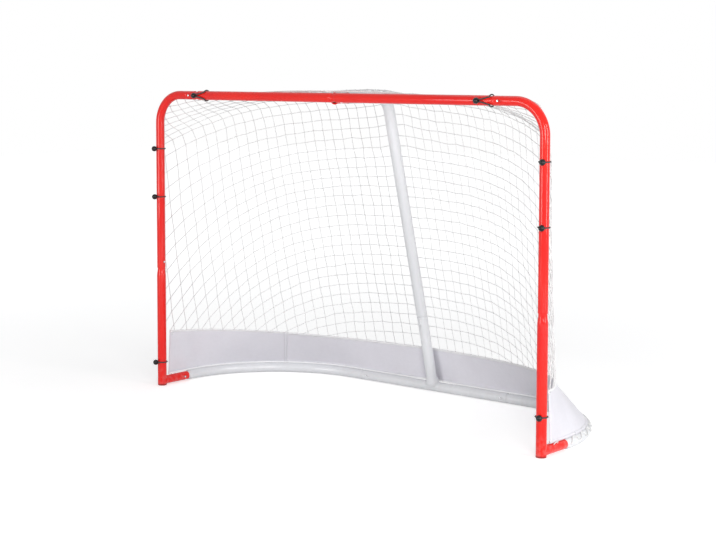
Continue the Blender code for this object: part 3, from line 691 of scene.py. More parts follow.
def simple_mesh(name: str, points: Sequence[Vector], edges: Sequence[tuple[int, int]] = (),
                faces: Sequence[tuple[int, ...]] = ()) -> bpy.types.Mesh:
    """Make a mesh from its points, edges and faces."""
    mesh = bpy.data.meshes.new(name)
    mesh.from_pydata(points, edges, faces)
    return mesh


def to_mesh(name: str, shape: bmesh.types.BMesh, sharp_degrees: float = 50.0) -> bpy.types.Mesh:
    """Turn a bmesh into a smooth mesh with its faces pointing out.

    Args:
        name: The mesh's name.
        shape: The bmesh, which is freed.
        sharp_degrees: Edges that turn by more than this stay sharp.

    Returns:
        The mesh.
    """
    bmesh.ops.recalc_face_normals(shape, faces=shape.faces)
    mesh = bpy.data.meshes.new(name)
    shape.to_mesh(mesh)
    shape.free()
    mesh.shade_smooth()
    mesh.set_sharp_from_angle(angle=math.radians(sharp_degrees))
    return mesh


def settle(thing: bpy.types.Object) -> bpy.types.Object:
    """Apply an object's modifiers to its mesh.

    Args:
        thing: The object.

    Returns:
        The same object.
    """
    bpy.context.view_layer.update()
    depsgraph = bpy.context.evaluated_depsgraph_get()
    mesh = bpy.data.meshes.new_from_object(thing.evaluated_get(depsgraph), depsgraph=depsgraph)
    thing.modifiers.clear()
    thing.data = mesh
    return thing


@dataclass
class Skin:
    """A skin of rings, which becomes a tube, a rod or a cord."""

    sides: int
    shape: bmesh.types.BMesh = field(default_factory=bmesh.new)
    rings: list[list[bmesh.types.BMVert]] = field(default_factory=list)

    def ring(self, centre: Vector, across: Vector, up: Vector, radius: float,
             slide: Callable[[float, float], Vector] | None = None) -> None:
        """Add a round ring and join it to the last one.

        Args:
            centre: Its centre.
            across: Direction of its first point.
            up: Direction of the point a quarter turn on.
            radius: Its radius.
            slide: Moves each point, from its two offsets, if given.
        """
        points = rim(radius, self.sides, lambda a, b: centre + across * a + up * b)
        if slide:
            moves = rim(radius, self.sides, slide)
            points = [point + move for point, move in zip(points, moves)]
        self.add(points)

    def add(self, points: Sequence[Vector]) -> None:
        """Add a ring of given points and join it to the last one."""
        self.rings.append([self.shape.verts.new(point) for point in points])
        if len(self.rings) > 1:
            self.join(self.rings[-2], self.rings[-1])

    def join(self, first: Sequence[bmesh.types.BMVert], second: Sequence[bmesh.types.BMVert]) -> None:
        """Make the faces between two rings."""
        for index in range(self.sides):
            nxt = (index + 1) % self.sides
            self.shape.faces.new((first[index], first[nxt], second[nxt], second[index]))

    def close(self) -> None:
        """Join the last ring to the first one."""
        self.join(self.rings[-1], self.rings[0])

    def cap(self) -> None:
        """Fill both ends."""
        self.shape.faces.new(self.rings[0])
        self.shape.faces.new(self.rings[-1])


@dataclass
class Tube:
    """A steel tube with walls and rounded lips, along points and radii in one plane."""

    line: Line
    flat_normal: Vector
    start_slide: Callable[[float, float], Vector] | None = None
    end_slide: Callable[[float, float], Vector] | None = None
    wall: float = 0.0015
    sides: int = 56
    longest_step: float = 0.025

    def filled(self) -> Line:
        """The line with rings added along its long straight runs."""
        line = [self.line[0]]
        for (before, first), (after, second) in zip(self.line, self.line[1:]):
            parts = max(1, math.ceil((after - before).length / self.longest_step))
            for step in range(1, parts + 1):
                line.append((before.lerp(after, step / parts), first + (second - first) * step / parts))
        return line

    def mesh(self, name: str) -> bpy.types.Mesh:
        """Make the tube's mesh.

        Args:
            name: The mesh's name.

        Returns:
            A closed mesh of the wall.
        """
        lip = self.wall * 0.35
        line = self.filled()
        along = unit_turn([point for point, _ in line])
        skin = Skin(self.sides)
        last = len(line) - 1

        def ring(index: int, inset: float, shift: float) -> None:
            """Add a ring, set in from the tube's radius and shifted along it."""
            point, radius = line[index]
            direction = along[index]
            up = direction.cross(self.flat_normal).normalized()
            slide = self.start_slide if index == 0 else self.end_slide if index == last else None
            skin.ring(point + direction * shift, self.flat_normal, up, radius - inset, slide)

        ring(0, lip, 0.0)
        ring(0, 0.0, lip)
        for index in range(1, last):
            ring(index, 0.0, 0.0)
        ring(last, 0.0, -lip)
        ring(last, lip, 0.0)
        ring(last, self.wall - lip / 2, 0.0)
        ring(last, self.wall, -lip)
        for index in range(last - 1, 0, -1):
            ring(index, self.wall, 0.0)
        ring(0, self.wall, lip)
        ring(0, self.wall - lip / 2, 0.0)
        skin.close()
        return to_mesh(name, skin.shape)


@dataclass
class Cord:
    """A cord along any path, with its yarn's place kept for the finish."""

    path: Ring
    radius: float
    sides: int = 12

    def mesh(self, name: str) -> bpy.types.Mesh:
        """Make the cord's mesh with its yarn's turns and length.

        Args:
            name: The mesh's name.

        Returns:
            A closed mesh with rounded ends.
        """
        along = unit_turn(self.path)
        run = lengths(self.path)
        across = along[0].orthogonal().normalized()
        skin = Skin(self.sides)
        places: list[tuple[float, float, float]] = []
        last = len(self.path) - 1
        rounds = [(0, 0.55, -0.6), (0, 0.9, -0.25), *[(index, 1.0, 0.0) for index in range(last + 1)],
                  (last, 0.9, 0.25), (last, 0.55, 0.6)]
        for index, share, shift in rounds:
            direction = along[index]
            across = (across - direction * across.dot(direction)).normalized()
            centre = self.path[index] + direction * (shift * self.radius)
            skin.ring(centre, across, direction.cross(across), self.radius * share)
            length = run[index] + shift * self.radius
            places += [(i / self.sides, length, 0.0) for i in range(self.sides)]
        skin.cap()
        mesh = to_mesh(name, skin.shape, 80.0)
        store(mesh, YARN_PLACE, places)
        return mesh

    def lay(self, name: str, finish: Finish, slot: Slot, *nodes: str) -> None:
        """Make the cord a piece of the frame's body."""
        install(finished(name, self.mesh(name), finish), "frame", slot, *nodes)


def store(mesh: bpy.types.Mesh, name: str, vectors: Sequence[Sequence[float]]) -> None:
    """Keep a vector on each of a mesh's points, under a name."""
    layer = mesh.attributes.new(name, "FLOAT_VECTOR", "POINT")
    layer.data.foreach_set("vector", np.array(vectors, dtype=np.float32).ravel())


def turned(name: str, profile: Sequence[tuple[float, float]], centre: Vector, along: Vector,
           sides: int = 40) -> bpy.types.Mesh:
    """A turned solid from radius and height pairs.

    Args:
        name: The mesh's name.
        profile: Radius and height along the axis, from one pole to the other.
        centre: Where height zero lies.
        along: The axis.
        sides: Points in each ring.

    Returns:
        A closed mesh.
    """
    across = along.orthogonal().normalized()
    skin = Skin(sides)
    for radius, height in profile:
        skin.ring(centre + along * height, across, along.cross(across), radius)
    skin.cap()
    return to_mesh(name, skin.shape, 35.0)


def smooth_path(points: Sequence[Vector], step: float) -> Ring:
    """A smooth curve through points, cut into equal steps.

    Args:
        points: The points that it passes.
        step: Length of a step.

    Returns:
        The curve's points.
    """
    array = np.array(points)
    dense: Ring = []
    for index in range(len(points) - 1):
        before = array[max(index - 1, 0)]
        start, stop = array[index], array[index + 1]
        after = array[min(index + 2, len(points) - 1)]
        for t in np.linspace(0, 1, 12, endpoint=False):
            a = 2 * start + (stop - before) * t
            b = (2 * before - 5 * start + 4 * stop - after) * t ** 2
            c = (3 * start - before - 3 * stop + after) * t ** 3
            dense.append(Vector((a + b + c) / 2))
    dense.append(Vector(array[-1]))
    run = lengths(dense)
    wanted = np.linspace(0, run[-1], max(2, round(run[-1] / step) + 1))
    flat = np.array(dense)
    return [Vector([float(np.interp(w, run, flat[:, k])) for k in range(3)]) for w in wanted]


# Geometry trees


class ShapeGraph(Graph):
    """Short ways to add the nodes that make and repeat shapes."""

    def keep(self, name: str, geometry: object, value: object,
             kind: str = "FLOAT") -> bpy.types.NodeSocket:
        """Keep a value on a geometry's points under a name."""
        inputs = {"Name": name, "Geometry": geometry, "Value": value}
        return self.add("GeometryNodeStoreNamedAttribute", inputs, data_type=kind, domain="POINT").outputs[0]

    def recall(self, name: str, kind: str = "FLOAT") -> bpy.types.NodeSocket:
        """The value that is kept under a name."""
        node = self.add("GeometryNodeInputNamedAttribute", {"Name": name}, data_type=kind)
        return node.outputs["Attribute"]

    def run(self, output: str) -> bpy.types.NodeSocket:
        """How far along its curve a point lies, as its Length or its Factor."""
        return self.add("GeometryNodeSplineParameter").outputs[output]

    def circle(self, radius: object, points: int) -> bpy.types.NodeSocket:
        """A round curve."""
        inputs = {"Resolution": points, "Radius": radius}
        return self.add("GeometryNodeCurvePrimitiveCircle", inputs).outputs["Curve"]

    def ball(self, radius: object) -> bpy.types.NodeSocket:
        """A small round ball."""
        inputs = {"Segments": 8, "Rings": 5, "Radius": radius}
        return self.add("GeometryNodeMeshUVSphere", inputs).outputs["Mesh"]

    def swept(self, curve: object, section: object) -> bpy.types.NodeSocket:
        """A curve swept with a section."""
        inputs = {"Curve": curve, "Profile Curve": section}
        return self.add("GeometryNodeCurveToMesh", inputs).outputs[0]

    def spaced(self, path: object, pitch: object) -> bpy.types.Node:
        """Points at equal steps along a mesh path."""
        curve = self.add("GeometryNodeMeshToCurve", {0: path}).outputs[0]
        return self.add("GeometryNodeCurveToPoints", {"Curve": curve, "Length": pitch}, mode="LENGTH")

    def strewn(self, points: object, shape: object, facing: object,
               scale: object = (1.0, 1.0, 1.0)) -> bpy.types.NodeSocket:
        """Put a shape on every point.

        Args:
            points: The points.
            shape: The shape.
            facing: The direction that its axis takes.
            scale: Its size in three directions.

        Returns:
            The shapes, as instances.
        """
        lay = self.add("FunctionNodeAlignEulerToVector", {"Vector": facing}, axis="Z")
        inputs = {"Points": points, "Instance": shape, "Rotation": lay.outputs[0], "Scale": scale}
        return self.add("GeometryNodeInstanceOnPoints", inputs).outputs[0]


class PatternTree:
    """A Geometry Nodes tree that repeats a shape, with named inputs for its sizes."""

    name = "pattern"
    sizes: tuple[tuple[str, float], ...] = ()

    def __init__(self) -> None:
        """Build the tree once."""
        self.tree = bpy.data.node_groups.get(self.name) or self.build()

    def build(self) -> bpy.types.NodeTree:
        """Make the tree, from its inputs to Realize Instances and Set Material."""
        tree = bpy.data.node_groups.new(self.name, "GeometryNodeTree")
        face = tree.interface
        face.new_socket("Geometry", in_out="INPUT", socket_type="NodeSocketGeometry")
        face.new_socket("Finish", in_out="INPUT", socket_type="NodeSocketMaterial")
        for label, value in self.sizes:
            socket = face.new_socket(label, in_out="INPUT", socket_type=FLOAT)
            socket.default_value = value
        face.new_socket("Geometry", in_out="OUTPUT", socket_type="NodeSocketGeometry")
        graph = ShapeGraph(tree)
        given = graph.add("NodeGroupInput").outputs
        realize = graph.add("GeometryNodeRealizeInstances", {0: self.shape(graph, given)})
        smooth = graph.add("GeometryNodeSetShadeSmooth", {0: realize.outputs[0]})
        dress = graph.add("GeometryNodeSetMaterial", {0: smooth.outputs[0], "Material": given["Finish"]})
        graph.add("NodeGroupOutput", {0: dress.outputs[0]})
        return tree

    def shape(self, graph: ShapeGraph, given: dict) -> bpy.types.NodeSocket:
        """The tree's own nodes, which end in a geometry."""
        raise NotImplementedError

    def run(self, thing: bpy.types.Object, finish: Finish, **sizes: float) -> bpy.types.Object:
        """Put the tree on an object and turn the result into its mesh.

        Args:
            thing: The object that carries the path or the points.
            finish: The finish of the result.
            **sizes: Values for the named inputs.

        Returns:
            The same object, as a plain mesh.
        """
        step = thing.modifiers.new(self.name, "NODES")
        step.node_group = self.tree
        keys = {item.name: item.identifier for item in self.tree.interface.items_tree
                if item.in_out == "INPUT"}
        step[keys["Finish"]] = finish.material()
        for label, value in self.sizes:
            step[keys[label]] = float(sizes.get(label.lower().replace(" ", "_"), value))
        return settle(thing)


class TwineTree(PatternTree):
    """Twine along every edge of a mesh and a knot on every point."""

    name = "knotted_twine"
    sizes = (("Twine Radius", 0.0012), ("Knot Radius", 0.0026))

    def shape(self, graph: ShapeGraph, given: dict) -> bpy.types.NodeSocket:
        """Curves from edges, swept with a round section, and knots on the points."""
        curve = graph.add("GeometryNodeMeshToCurve", {0: given["Geometry"]}).outputs[0]
        line = graph.keep("run", curve, graph.run("Length"))
        section = graph.keep("around", graph.circle(given["Twine Radius"], 6), graph.run("Factor"))
        limits = {"Max": (math.tau, math.tau, math.tau), "Seed": 7}
        tilt = graph.add("FunctionNodeRandomValue", limits, data_type="FLOAT_VECTOR")
        knots = graph.add("GeometryNodeInstanceOnPoints", {
            "Points": given["Geometry"], "Instance": graph.ball(given["Knot Radius"]),
            "Rotation": tilt.outputs[0], "Scale": (1.0, 1.0, 0.8),
        })
        join = graph.add("GeometryNodeJoinGeometry", {0: graph.swept(line, section)})
        graph.put(join.inputs[0], knots.outputs[0])
        realize = graph.add("GeometryNodeRealizeInstances", {0: join.outputs[0]})
        place = graph.add("ShaderNodeCombineXYZ", {0: graph.recall("around"), 1: graph.recall("run")})
        return graph.keep(YARN_PLACE, realize.outputs[0], place.outputs[0], "FLOAT_VECTOR")


class StitchTree(PatternTree):
    """Short stitches along the edges of a mesh path."""

    name = "stitches"
    sizes = (("Pitch", 0.006), ("Thread Radius", 0.0005), ("Stitch Length", 0.004))

    def shape(self, graph: ShapeGraph, given: dict) -> bpy.types.NodeSocket:
        """Stretched balls at equal steps, lying along the path."""
        steps = graph.spaced(given["Geometry"], given["Pitch"]).outputs
        grain = graph.add("GeometryNodeMeshIcoSphere", {"Subdivisions": 1, "Radius": 1.0})
        thread = given["Thread Radius"]
        half = graph.math("MULTIPLY", given["Stitch Length"], 0.5)
        size = graph.add("ShaderNodeCombineXYZ", {0: thread, 1: thread, 2: half})
        return graph.strewn(steps["Points"], grain.outputs["Mesh"], steps["Tangent"], size.outputs[0])


class WeldTree(PatternTree):
    """The overlapping scales of a weld bead along a closed path."""

    name = "weld_bead"
    sizes = (("Pitch", 0.0016), ("Bead Radius", 0.0028))

    def shape(self, graph: ShapeGraph, given: dict) -> bpy.types.NodeSocket:
        """Flattened balls that overlap along the path."""
        steps = graph.spaced(given["Geometry"], given["Pitch"]).outputs
        return graph.strewn(steps["Points"], graph.ball(given["Bead Radius"]), steps["Tangent"],
                            (1.0, 1.0, 0.55))


class EyeletTree(PatternTree):
    """A metal eyelet on every point, facing along the point's own direction."""

    name = "eyelets"
    sizes = (("Ring Radius", 0.005), ("Wire Radius", 0.0012))

    def shape(self, graph: ShapeGraph, given: dict) -> bpy.types.NodeSocket:
        """Rings of wire turned to the points' facing."""
        ring = graph.swept(graph.circle(given["Ring Radius"], 14), graph.circle(given["Wire Radius"], 6))
        return graph.strewn(given["Geometry"], ring, graph.recall(FACING, "FLOAT_VECTOR"))


def spot_object(name: str, places: Sequence[Vector], facings: Sequence[Vector]) -> bpy.types.Object:
    """Make an object whose mesh holds points for a pattern tree.

    Args:
        name: The object's name.
        places: Its points.
        facings: The direction that each point faces.

    Returns:
        The object.
    """
    mesh = simple_mesh(name, places)
    store(mesh, FACING, facings)
    return placed(name, mesh)


def line_object(name: str, lines: Sequence[Ring], closed: bool = False) -> bpy.types.Object:
    """Make an object whose mesh holds lines for a pattern tree.

    Args:
        name: The object's name.
        lines: The points of each line.
        closed: Whether each line comes back to its first point.

    Returns:
        The object.
    """
    points: Ring = []
    edges: list[tuple[int, int]] = []
    for line in lines:
        first = len(points)
        points += line
        edges += [(first + i, first + i + 1) for i in range(len(line) - 1)]
        if closed:
            edges.append((len(points) - 1, first))
    return placed(name, simple_mesh(name, points, edges))


def install(thing: bpy.types.Object, body: str, slot: Slot, *nodes: str) -> bpy.types.Object:
    """Ride a piece on its body and hide the nodes that it stands for.

    Args:
        thing: The piece.
        body: The body that it rides on.
        slot: The material slot; not used.
        *nodes: The nodes that it replaces.

    Returns:
        The piece.
    """
    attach(thing, body)
    if nodes:
        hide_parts(*nodes)
    log.info("%s rides on %s", thing.name, body)
    return thing


# Sub-assemblies


@dataclass
class Clip:
    """One snap clip: where its button stands and the tube that it goes through."""

    name: str
    place: Vector
    along: Vector
    out: Vector
    outer_r: float


@dataclass
class SnapClips:
    """The spring clips with their domed buttons and folded leaves."""

    sizes: GoalSizes
    button_r: float = 0.0042
    proud: float = 0.0026
    dome: float = 0.0014
    dome_steps: int = 9
    rivet_height: float = 0.0004
    hole_clearance: float = 0.0005
    set_back: float = 0.025
    stub_set_back: float = 0.028
    leaf_width: float = 0.008
    leaf_thickness: float = 0.0008
    leaf_reach: float = 0.028
    leaf_tail: float = 0.008
    leaf_gap: float = 0.0003
    leaf_fold: float = 0.0032
    fold_steps: int = 8

    def clips(self) -> list[Clip]:
        """Every clip of the goal."""
        s = self.sizes
        made = []
        for side, sign in SIDES:
            inward = Vector((-sign, 0, 0))
            bar = s.on_bar(sign * (s.bar_joint_x + self.set_back))
            post = s.on_post(sign, s.post_joint_z + self.set_back)
            stub = s.on_base(sign * s.post_x, s.stub_end_y - self.stub_set_back)
            base = s.on_base(sign * (s.base_joint_x - self.set_back), s.base_rear_y)
            made += [
                Clip("bar_" + side, bar, inward, -BACK, s.upper_r),
                Clip("post_" + side, post, -UP, inward, s.upper_r),
                Clip("stub_" + side, stub, BACK, inward, s.stub_r),
                Clip("base_" + side, base, -inward, -BACK, s.base_r),
            ]
        middle = s.on_bar(s.middle_joint_x + self.set_back)
        made.append(Clip("bar_middle", middle, -RIGHT, -UP, s.bar_r))
        front = Vector((0, -math.cos(s.leg_angle), -math.sin(s.leg_angle)))
        spot = s.leg_joint + s.leg_down * self.set_back
        made.append(Clip("support", spot, -s.leg_down, front, s.prop_r))
        return made

    def button(self, clip: Clip) -> bpy.types.Mesh:
        """The domed button and its shank.

        Args:
            clip: Where it stands.

        Returns:
            A closed mesh.
        """
        radius = self.button_r
        top = clip.outer_r + self.proud
        low = self.leaf_height(clip)
        profile = [(radius * 0.9, low), (radius, low + self.rivet_height), (radius, top - self.dome)]
        for step in range(1, self.dome_steps):
            angle = math.pi / 2 * step / self.dome_steps
            profile.append((radius * math.cos(angle), top - self.dome * (1 - math.sin(angle))))
        return turned(clip.name, profile, clip.place, clip.out)

    def leaf_height(self, clip: Clip) -> float:
        """Height at which the leaf lies in its tube."""
        inside = self.sizes.neck(clip.outer_r) - self.sizes.wall
        return math.sqrt(inside ** 2 - (self.leaf_width / 2) ** 2) - self.leaf_gap

    def leaf(self, clip: Clip) -> bmesh.types.BMesh:
        """The folded spring leaf under the button.

        Args:
            clip: Where it lies.

        Returns:
            The leaf, not yet a mesh.
        """
        top = self.leaf_height(clip) - self.leaf_thickness / 2
        travel = self.sizes.wall + self.sizes.plug_gap + self.proud
        low = travel + self.leaf_thickness - self.leaf_height(clip)
        line = [(-self.leaf_tail, top), (self.leaf_reach, top)]
        bow = self.leaf_fold / 2
        for step in range(1, self.fold_steps):
            turn = math.pi * step / self.fold_steps
            line.append((self.leaf_reach + bow * math.sin(turn), top - bow * (1 - math.cos(turn))))
        line += [(self.leaf_reach, top - self.leaf_fold), (-self.leaf_tail, low)]
        middle = [clip.place + clip.along * a + clip.out * b for a, b in line]
        across = clip.along.cross(clip.out) * (self.leaf_width / 2)
        skin = Skin(4)
        for point, direction in zip(middle, unit_turn(middle)):
            lift = direction.cross(across).normalized() * (self.leaf_thickness / 2)
            skin.add([point + across + lift, point + across - lift, point - across - lift,
                      point - across + lift])
        skin.cap()
        return skin.shape

    def drill(self, clip: Clip, thing: bpy.types.Object) -> None:
        """Cut the clip's hole through a tube.

        Args:
            clip: The clip.
            thing: The tube's object.
        """
        neck_r = self.sizes.neck(clip.outer_r)
        start = clip.place + clip.out * (neck_r / 2)
        depth = clip.outer_r - neck_r / 2 + self.proud
        bore = self.button_r + self.hole_clearance
        tool = placed("hole", turned("hole", [(bore, 0), (bore, depth)], start, clip.out, 32))
        cut = thing.modifiers.new("hole", "BOOLEAN")
        cut.operation = "DIFFERENCE"
        cut.solver = "EXACT"
        cut.object = tool
        settle(thing)
        bpy.data.objects.remove(tool)

    def build(self) -> None:
        """Make every clip and put it on its own body."""
        for clip in self.clips():
            shape = self.leaf(clip)
            shape.from_mesh(self.button(clip))
            mesh = to_mesh("clip_" + clip.name, shape, 35.0)
            thing = finished("clip_piece_" + clip.name, mesh, CLIP_STEEL)
            install(thing, "clip_" + clip.name, Slot.BUTTON_STEEL, "snap_clip_" + clip.name)


@dataclass
class TubeFrame:
    """The red mouth, the white base and the support, tube by tube."""

    sizes: GoalSizes
    clips: SnapClips
    bend_steps: int = 28
    swage_steps: int = 6
    lip_run: float = 0.004
    neck_showing: float = 0.02
    post_neck_showing: float = 0.006
    base_neck_showing: float = 0.004
    prop_neck_showing: float = 0.003
    shoulder: float = 0.005
    taper: float = 0.03
    flare_r: float = 0.027
    flare_length: float = 0.03
    spigot_start: float = 0.012
    spigot_end: float = 0.150
    arm_start: float = 0.090
    saddle_gap: float = 0.0001
    stub_weld_steps: int = 72
    weld_steps: int = 96
    cap_edge: float = 0.0012
    cap_plug: float = 0.016
    cap_nose: float = 0.002

    def add(self, name: str, tube: Tube, slot: Slot, node: str, *holes: str) -> None:
        """Make a tube, drill its clip holes and put it in place.

        Args:
            name: The piece's name.
            tube: Its line and its ends.
            slot: The material slot, which also gives its paint.
            node: The node that it replaces.
            *holes: Names of the clips that pass through it.
        """
        thing = finished(name, tube.mesh(name), PAINTS[slot])
        for clip in self.clips.clips():
            if clip.name in holes:
                self.clips.drill(clip, thing)
        install(thing, "frame", slot, node)

    def weld(self, name: str, loop: Ring, slot: Slot) -> None:
        """Lay a painted weld bead along a closed loop."""
        thing = WeldTree().run(line_object(name, [loop], closed=True), PAINTS[slot])
        install(thing, "frame", slot)

    def swage(self, start: Vector, along: Vector, from_r: float, to_r: float, length: float) -> Line:
        """A smooth step between two radii.

        Args:
            start: Where it starts.
            along: Its direction.
            from_r: The radius before it.
            to_r: The radius after it.
            length: Its length.

        Returns:
            Its points and radii.
        """
        line = []
        for step in range(self.swage_steps + 1):
            share = step / self.swage_steps
            ease = share * share * (3 - 2 * share)
            line.append((start + along * (length * share), from_r + (to_r - from_r) * ease))
        return line

    def lower_post(self, side: str, sign: int) -> None:
        """Lower post with the tapered neck at its top."""
        s = self.sizes
        neck = s.neck(s.upper_r)
        foot = s.on_post(sign, s.cap_top)
        start = s.on_post(sign, s.post_joint_z - self.post_neck_showing - self.taper)
        line = [(foot, s.post_r), (foot + UP * self.lip_run, s.post_r),
                *self.swage(start, UP, s.post_r, neck, self.taper),
                (s.on_post(sign, s.post_joint_z + s.neck_length), neck)]
        self.add("lower_post_tube_" + side, Tube(line, BACK), Slot.RED_PAINT, "lower_post_" + side,
                 "post_" + side)

    def corner(self, side: str, sign: int) -> None:
        """Upper post and its bend into the crossbar."""
        s = self.sizes
        centre = s.at(sign * (s.post_x - s.corner_radius), 0, s.bar_z - s.corner_radius)
        start = centre + RIGHT * (sign * s.corner_radius)
        low = s.on_post(sign, s.post_joint_z)
        end = s.on_bar(sign * s.bar_joint_x)
        path = [low, low + UP * self.lip_run,
                *arc(centre, start, BACK, -sign * math.pi / 2, self.bend_steps),
                end + RIGHT * (sign * self.lip_run), end]
        tube = Tube([(point, s.upper_r) for point in path], BACK)
        self.add("corner_bend_" + side, tube, Slot.RED_PAINT, "corner_tube_" + side,
                 "post_" + side, "bar_" + side)

    def crossbar(self, side: str, sign: int) -> None:
        """Half of the crossbar with its necks."""
        s = self.sizes
        neck = s.neck(s.upper_r)
        edge = s.on_bar(sign * (s.bar_joint_x - self.neck_showing + self.shoulder))
        line = [(s.on_bar(sign * (s.bar_joint_x + s.neck_length)), neck),
                *self.swage(edge, RIGHT * -sign, neck, s.bar_r, self.shoulder)]
        if sign > 0:
            line += [(s.on_bar(s.middle_joint_x + run), s.bar_r) for run in (self.lip_run, 0)]
        else:
            inner = s.neck(s.bar_r)
            start = s.on_bar(s.middle_joint_x - self.neck_showing - self.shoulder)
            line += self.swage(start, RIGHT, s.bar_r, inner, self.shoulder)
            line.append((s.on_bar(s.middle_joint_x + s.neck_length), inner))
        self.add("crossbar_tube_" + side, Tube(line, BACK), Slot.RED_PAINT, "crossbar_" + side,
                 "bar_" + side, "bar_middle")

    def stub(self, side: str, sign: int) -> None:
        """Floor stub, shaped to the post and welded to it."""
        s = self.sizes
        saddle_r = s.post_r + self.saddle_gap
        start = s.on_post(sign, s.base_z)
        end = s.on_base(sign * s.post_x, s.stub_end_y)

        def depth(x: float) -> float:
            """Depth of the post's back, off to one side of its axis."""
            return math.sqrt(max(0.0, saddle_r ** 2 - x ** 2))

        path = [start, start + BACK * (2 * s.post_r), end - BACK * self.lip_run, end]
        tube = Tube([(point, s.stub_r) for point in path], UP, lambda a, b: BACK * depth(b))
        self.add("stub_tube_" + side, tube, Slot.RED_PAINT, "floor_stub_" + side, "stub_" + side)
        loop = rim(s.stub_r, self.stub_weld_steps, lambda x, z: start + Vector((x, depth(x), z)))
        self.weld("weld_stub_" + side, loop, Slot.RED_PAINT)

    def spigot(self) -> None:
        """The short tube behind the crossbar that the support slips over."""
        s = self.sizes
        radius = s.neck(s.arm_r)
        start = s.at(0, 0, s.arm_z)
        end = s.at(0, self.spigot_end, s.arm_z)
        drop = s.bar_z - s.arm_z

        def depth(rise: float) -> float:
            """Depth of the crossbar's back, above the spigot's axis."""
            return max(self.spigot_start, math.sqrt(max(0.0, s.bar_r ** 2 - (rise - drop) ** 2)))

        path = [start, start + BACK * (2 * s.bar_r), end - BACK * self.lip_run, end]
        tube = Tube([(point, radius) for point in path], RIGHT, lambda a, b: BACK * depth(-b))
        self.add("spigot_tube", tube, Slot.RED_PAINT, "support_spigot")
        loop = rim(radius, self.weld_steps, lambda x, z: start + Vector((x, depth(z), z)))
        self.weld("weld_spigot", loop, Slot.RED_PAINT)

    def arm(self) -> None:
        """Upper part of the support."""
        s = self.sizes
        turn = math.pi / 2 - s.leg_angle
        bend = s.at(0, s.arm_corner_y - s.arm_bend_radius * math.tan(turn / 2), s.arm_z)
        top = s.at(0, self.arm_start, s.arm_z)
        path = [top, top + BACK * self.lip_run,
                *arc(bend - UP * s.arm_bend_radius, bend, RIGHT, -turn, self.bend_steps)]
        neck = s.neck(s.prop_r)
        start = s.leg_joint - s.leg_down * (self.prop_neck_showing + self.shoulder)
        line = [*[(point, s.arm_r) for point in path],
                *self.swage(start, s.leg_down, s.arm_r, neck, self.shoulder),
                (s.leg_joint + s.leg_down * s.neck_length, neck)]
        self.add("support_arm_tube", Tube(line, RIGHT), Slot.WHITE_PAINT, "support_arm", "support")

    def prop(self) -> None:
        """Lower part of the support, flared onto the base tube."""
        s = self.sizes
        down = s.leg_down
        joint = s.leg_joint
        foot = s.at(0, s.rear_depth, s.base_z)
        flare = joint + down * ((foot - joint).length - s.base_r - self.flare_length)
        saddle_r = s.base_r + self.saddle_gap
        level = s.base_r * 0.5

        def depth(rise: float) -> float:
            """Distance of the base tube's skin from its axis, off to one side."""
            return max(level, math.sqrt(max(0.0, saddle_r ** 2 - rise ** 2)))

        line = [(joint, s.prop_r), (joint + down * self.lip_run, s.prop_r),
                *self.swage(flare, down, s.prop_r, self.flare_r, self.flare_length),
                (foot - down * level, self.flare_r)]
        tube = Tube(line, RIGHT, end_slide=lambda a, b: down * (level - depth(b)))
        self.add("support_prop_tube", tube, Slot.WHITE_PAINT, "support_prop", "support")
        up = down.cross(RIGHT).normalized()
        loop = rim(self.flare_r, self.weld_steps,
                   lambda a, b: foot + RIGHT * a + up * b - down * depth(b))
        self.weld("weld_prop", loop, Slot.WHITE_PAINT)

    def base_side(self, side: str, sign: int) -> None:
        """Bent side of the base."""
        s = self.sizes
        front_neck = s.neck(s.stub_r)
        rear_neck = s.neck(s.base_r)
        shoulder = s.on_base(sign * s.post_x, s.stub_end_y + self.base_neck_showing)
        centre = s.on_base(sign * (s.post_x - s.base_bend_radius), s.base_rear_y - s.base_bend_radius)
        start = centre + RIGHT * (sign * s.base_bend_radius)
        bend = arc(centre, start, UP, sign * math.pi / 2, 2 * self.bend_steps)
        inner = sign * (s.base_joint_x + self.base_neck_showing + self.shoulder)
        line = [
            (s.on_base(sign * s.post_x, s.stub_end_y - s.neck_length), front_neck),
            *self.swage(shoulder, BACK, front_neck, s.base_r, self.shoulder),
            *[(point, s.base_r) for point in bend],
            *self.swage(s.on_base(inner, s.base_rear_y), RIGHT * -sign, s.base_r, rear_neck, self.shoulder),
            (s.on_base(sign * (s.base_joint_x - s.neck_length), s.base_rear_y), rear_neck),
        ]
        self.add("base_bend_" + side, Tube(line, UP), Slot.WHITE_PAINT, "base_side_" + side,
                 "stub_" + side, "base_" + side)

    def base_centre(self) -> None:
        """Straight rear tube of the base."""
        s = self.sizes
        inner = s.base_joint_x - self.lip_run
        xs = (-s.base_joint_x, -inner, inner, s.base_joint_x)
        line = [(s.on_base(x, s.base_rear_y), s.base_r) for x in xs]
        self.add("base_rear_tube", Tube(line, UP), Slot.WHITE_PAINT, "base_centre",
                 "base_left", "base_right")

    def foot_cap(self, side: str, sign: int) -> None:
        """Moulded cap in the post's foot."""
        s = self.sizes
        edge = self.cap_edge
        plug = s.post_r - s.wall - s.plug_gap
        top = s.cap_top - s.plug_gap
        nose = top + self.cap_plug
        profile = [(s.post_r - edge, 0), (s.post_r - edge * 0.3, edge * 0.3), (s.post_r, edge),
                   (s.post_r, top - edge / 2), (s.post_r - edge / 2, top), (plug, top), (plug, nose),
                   (plug - edge, nose + self.cap_nose)]
        name = "foot_cap_piece_" + side
        mesh = turned(name, profile, s.on_post(sign, 0), UP, 56)
        install(finished(name, mesh, CAP_PLASTIC), "frame", Slot.CAP_PLASTIC, "foot_cap_" + side)

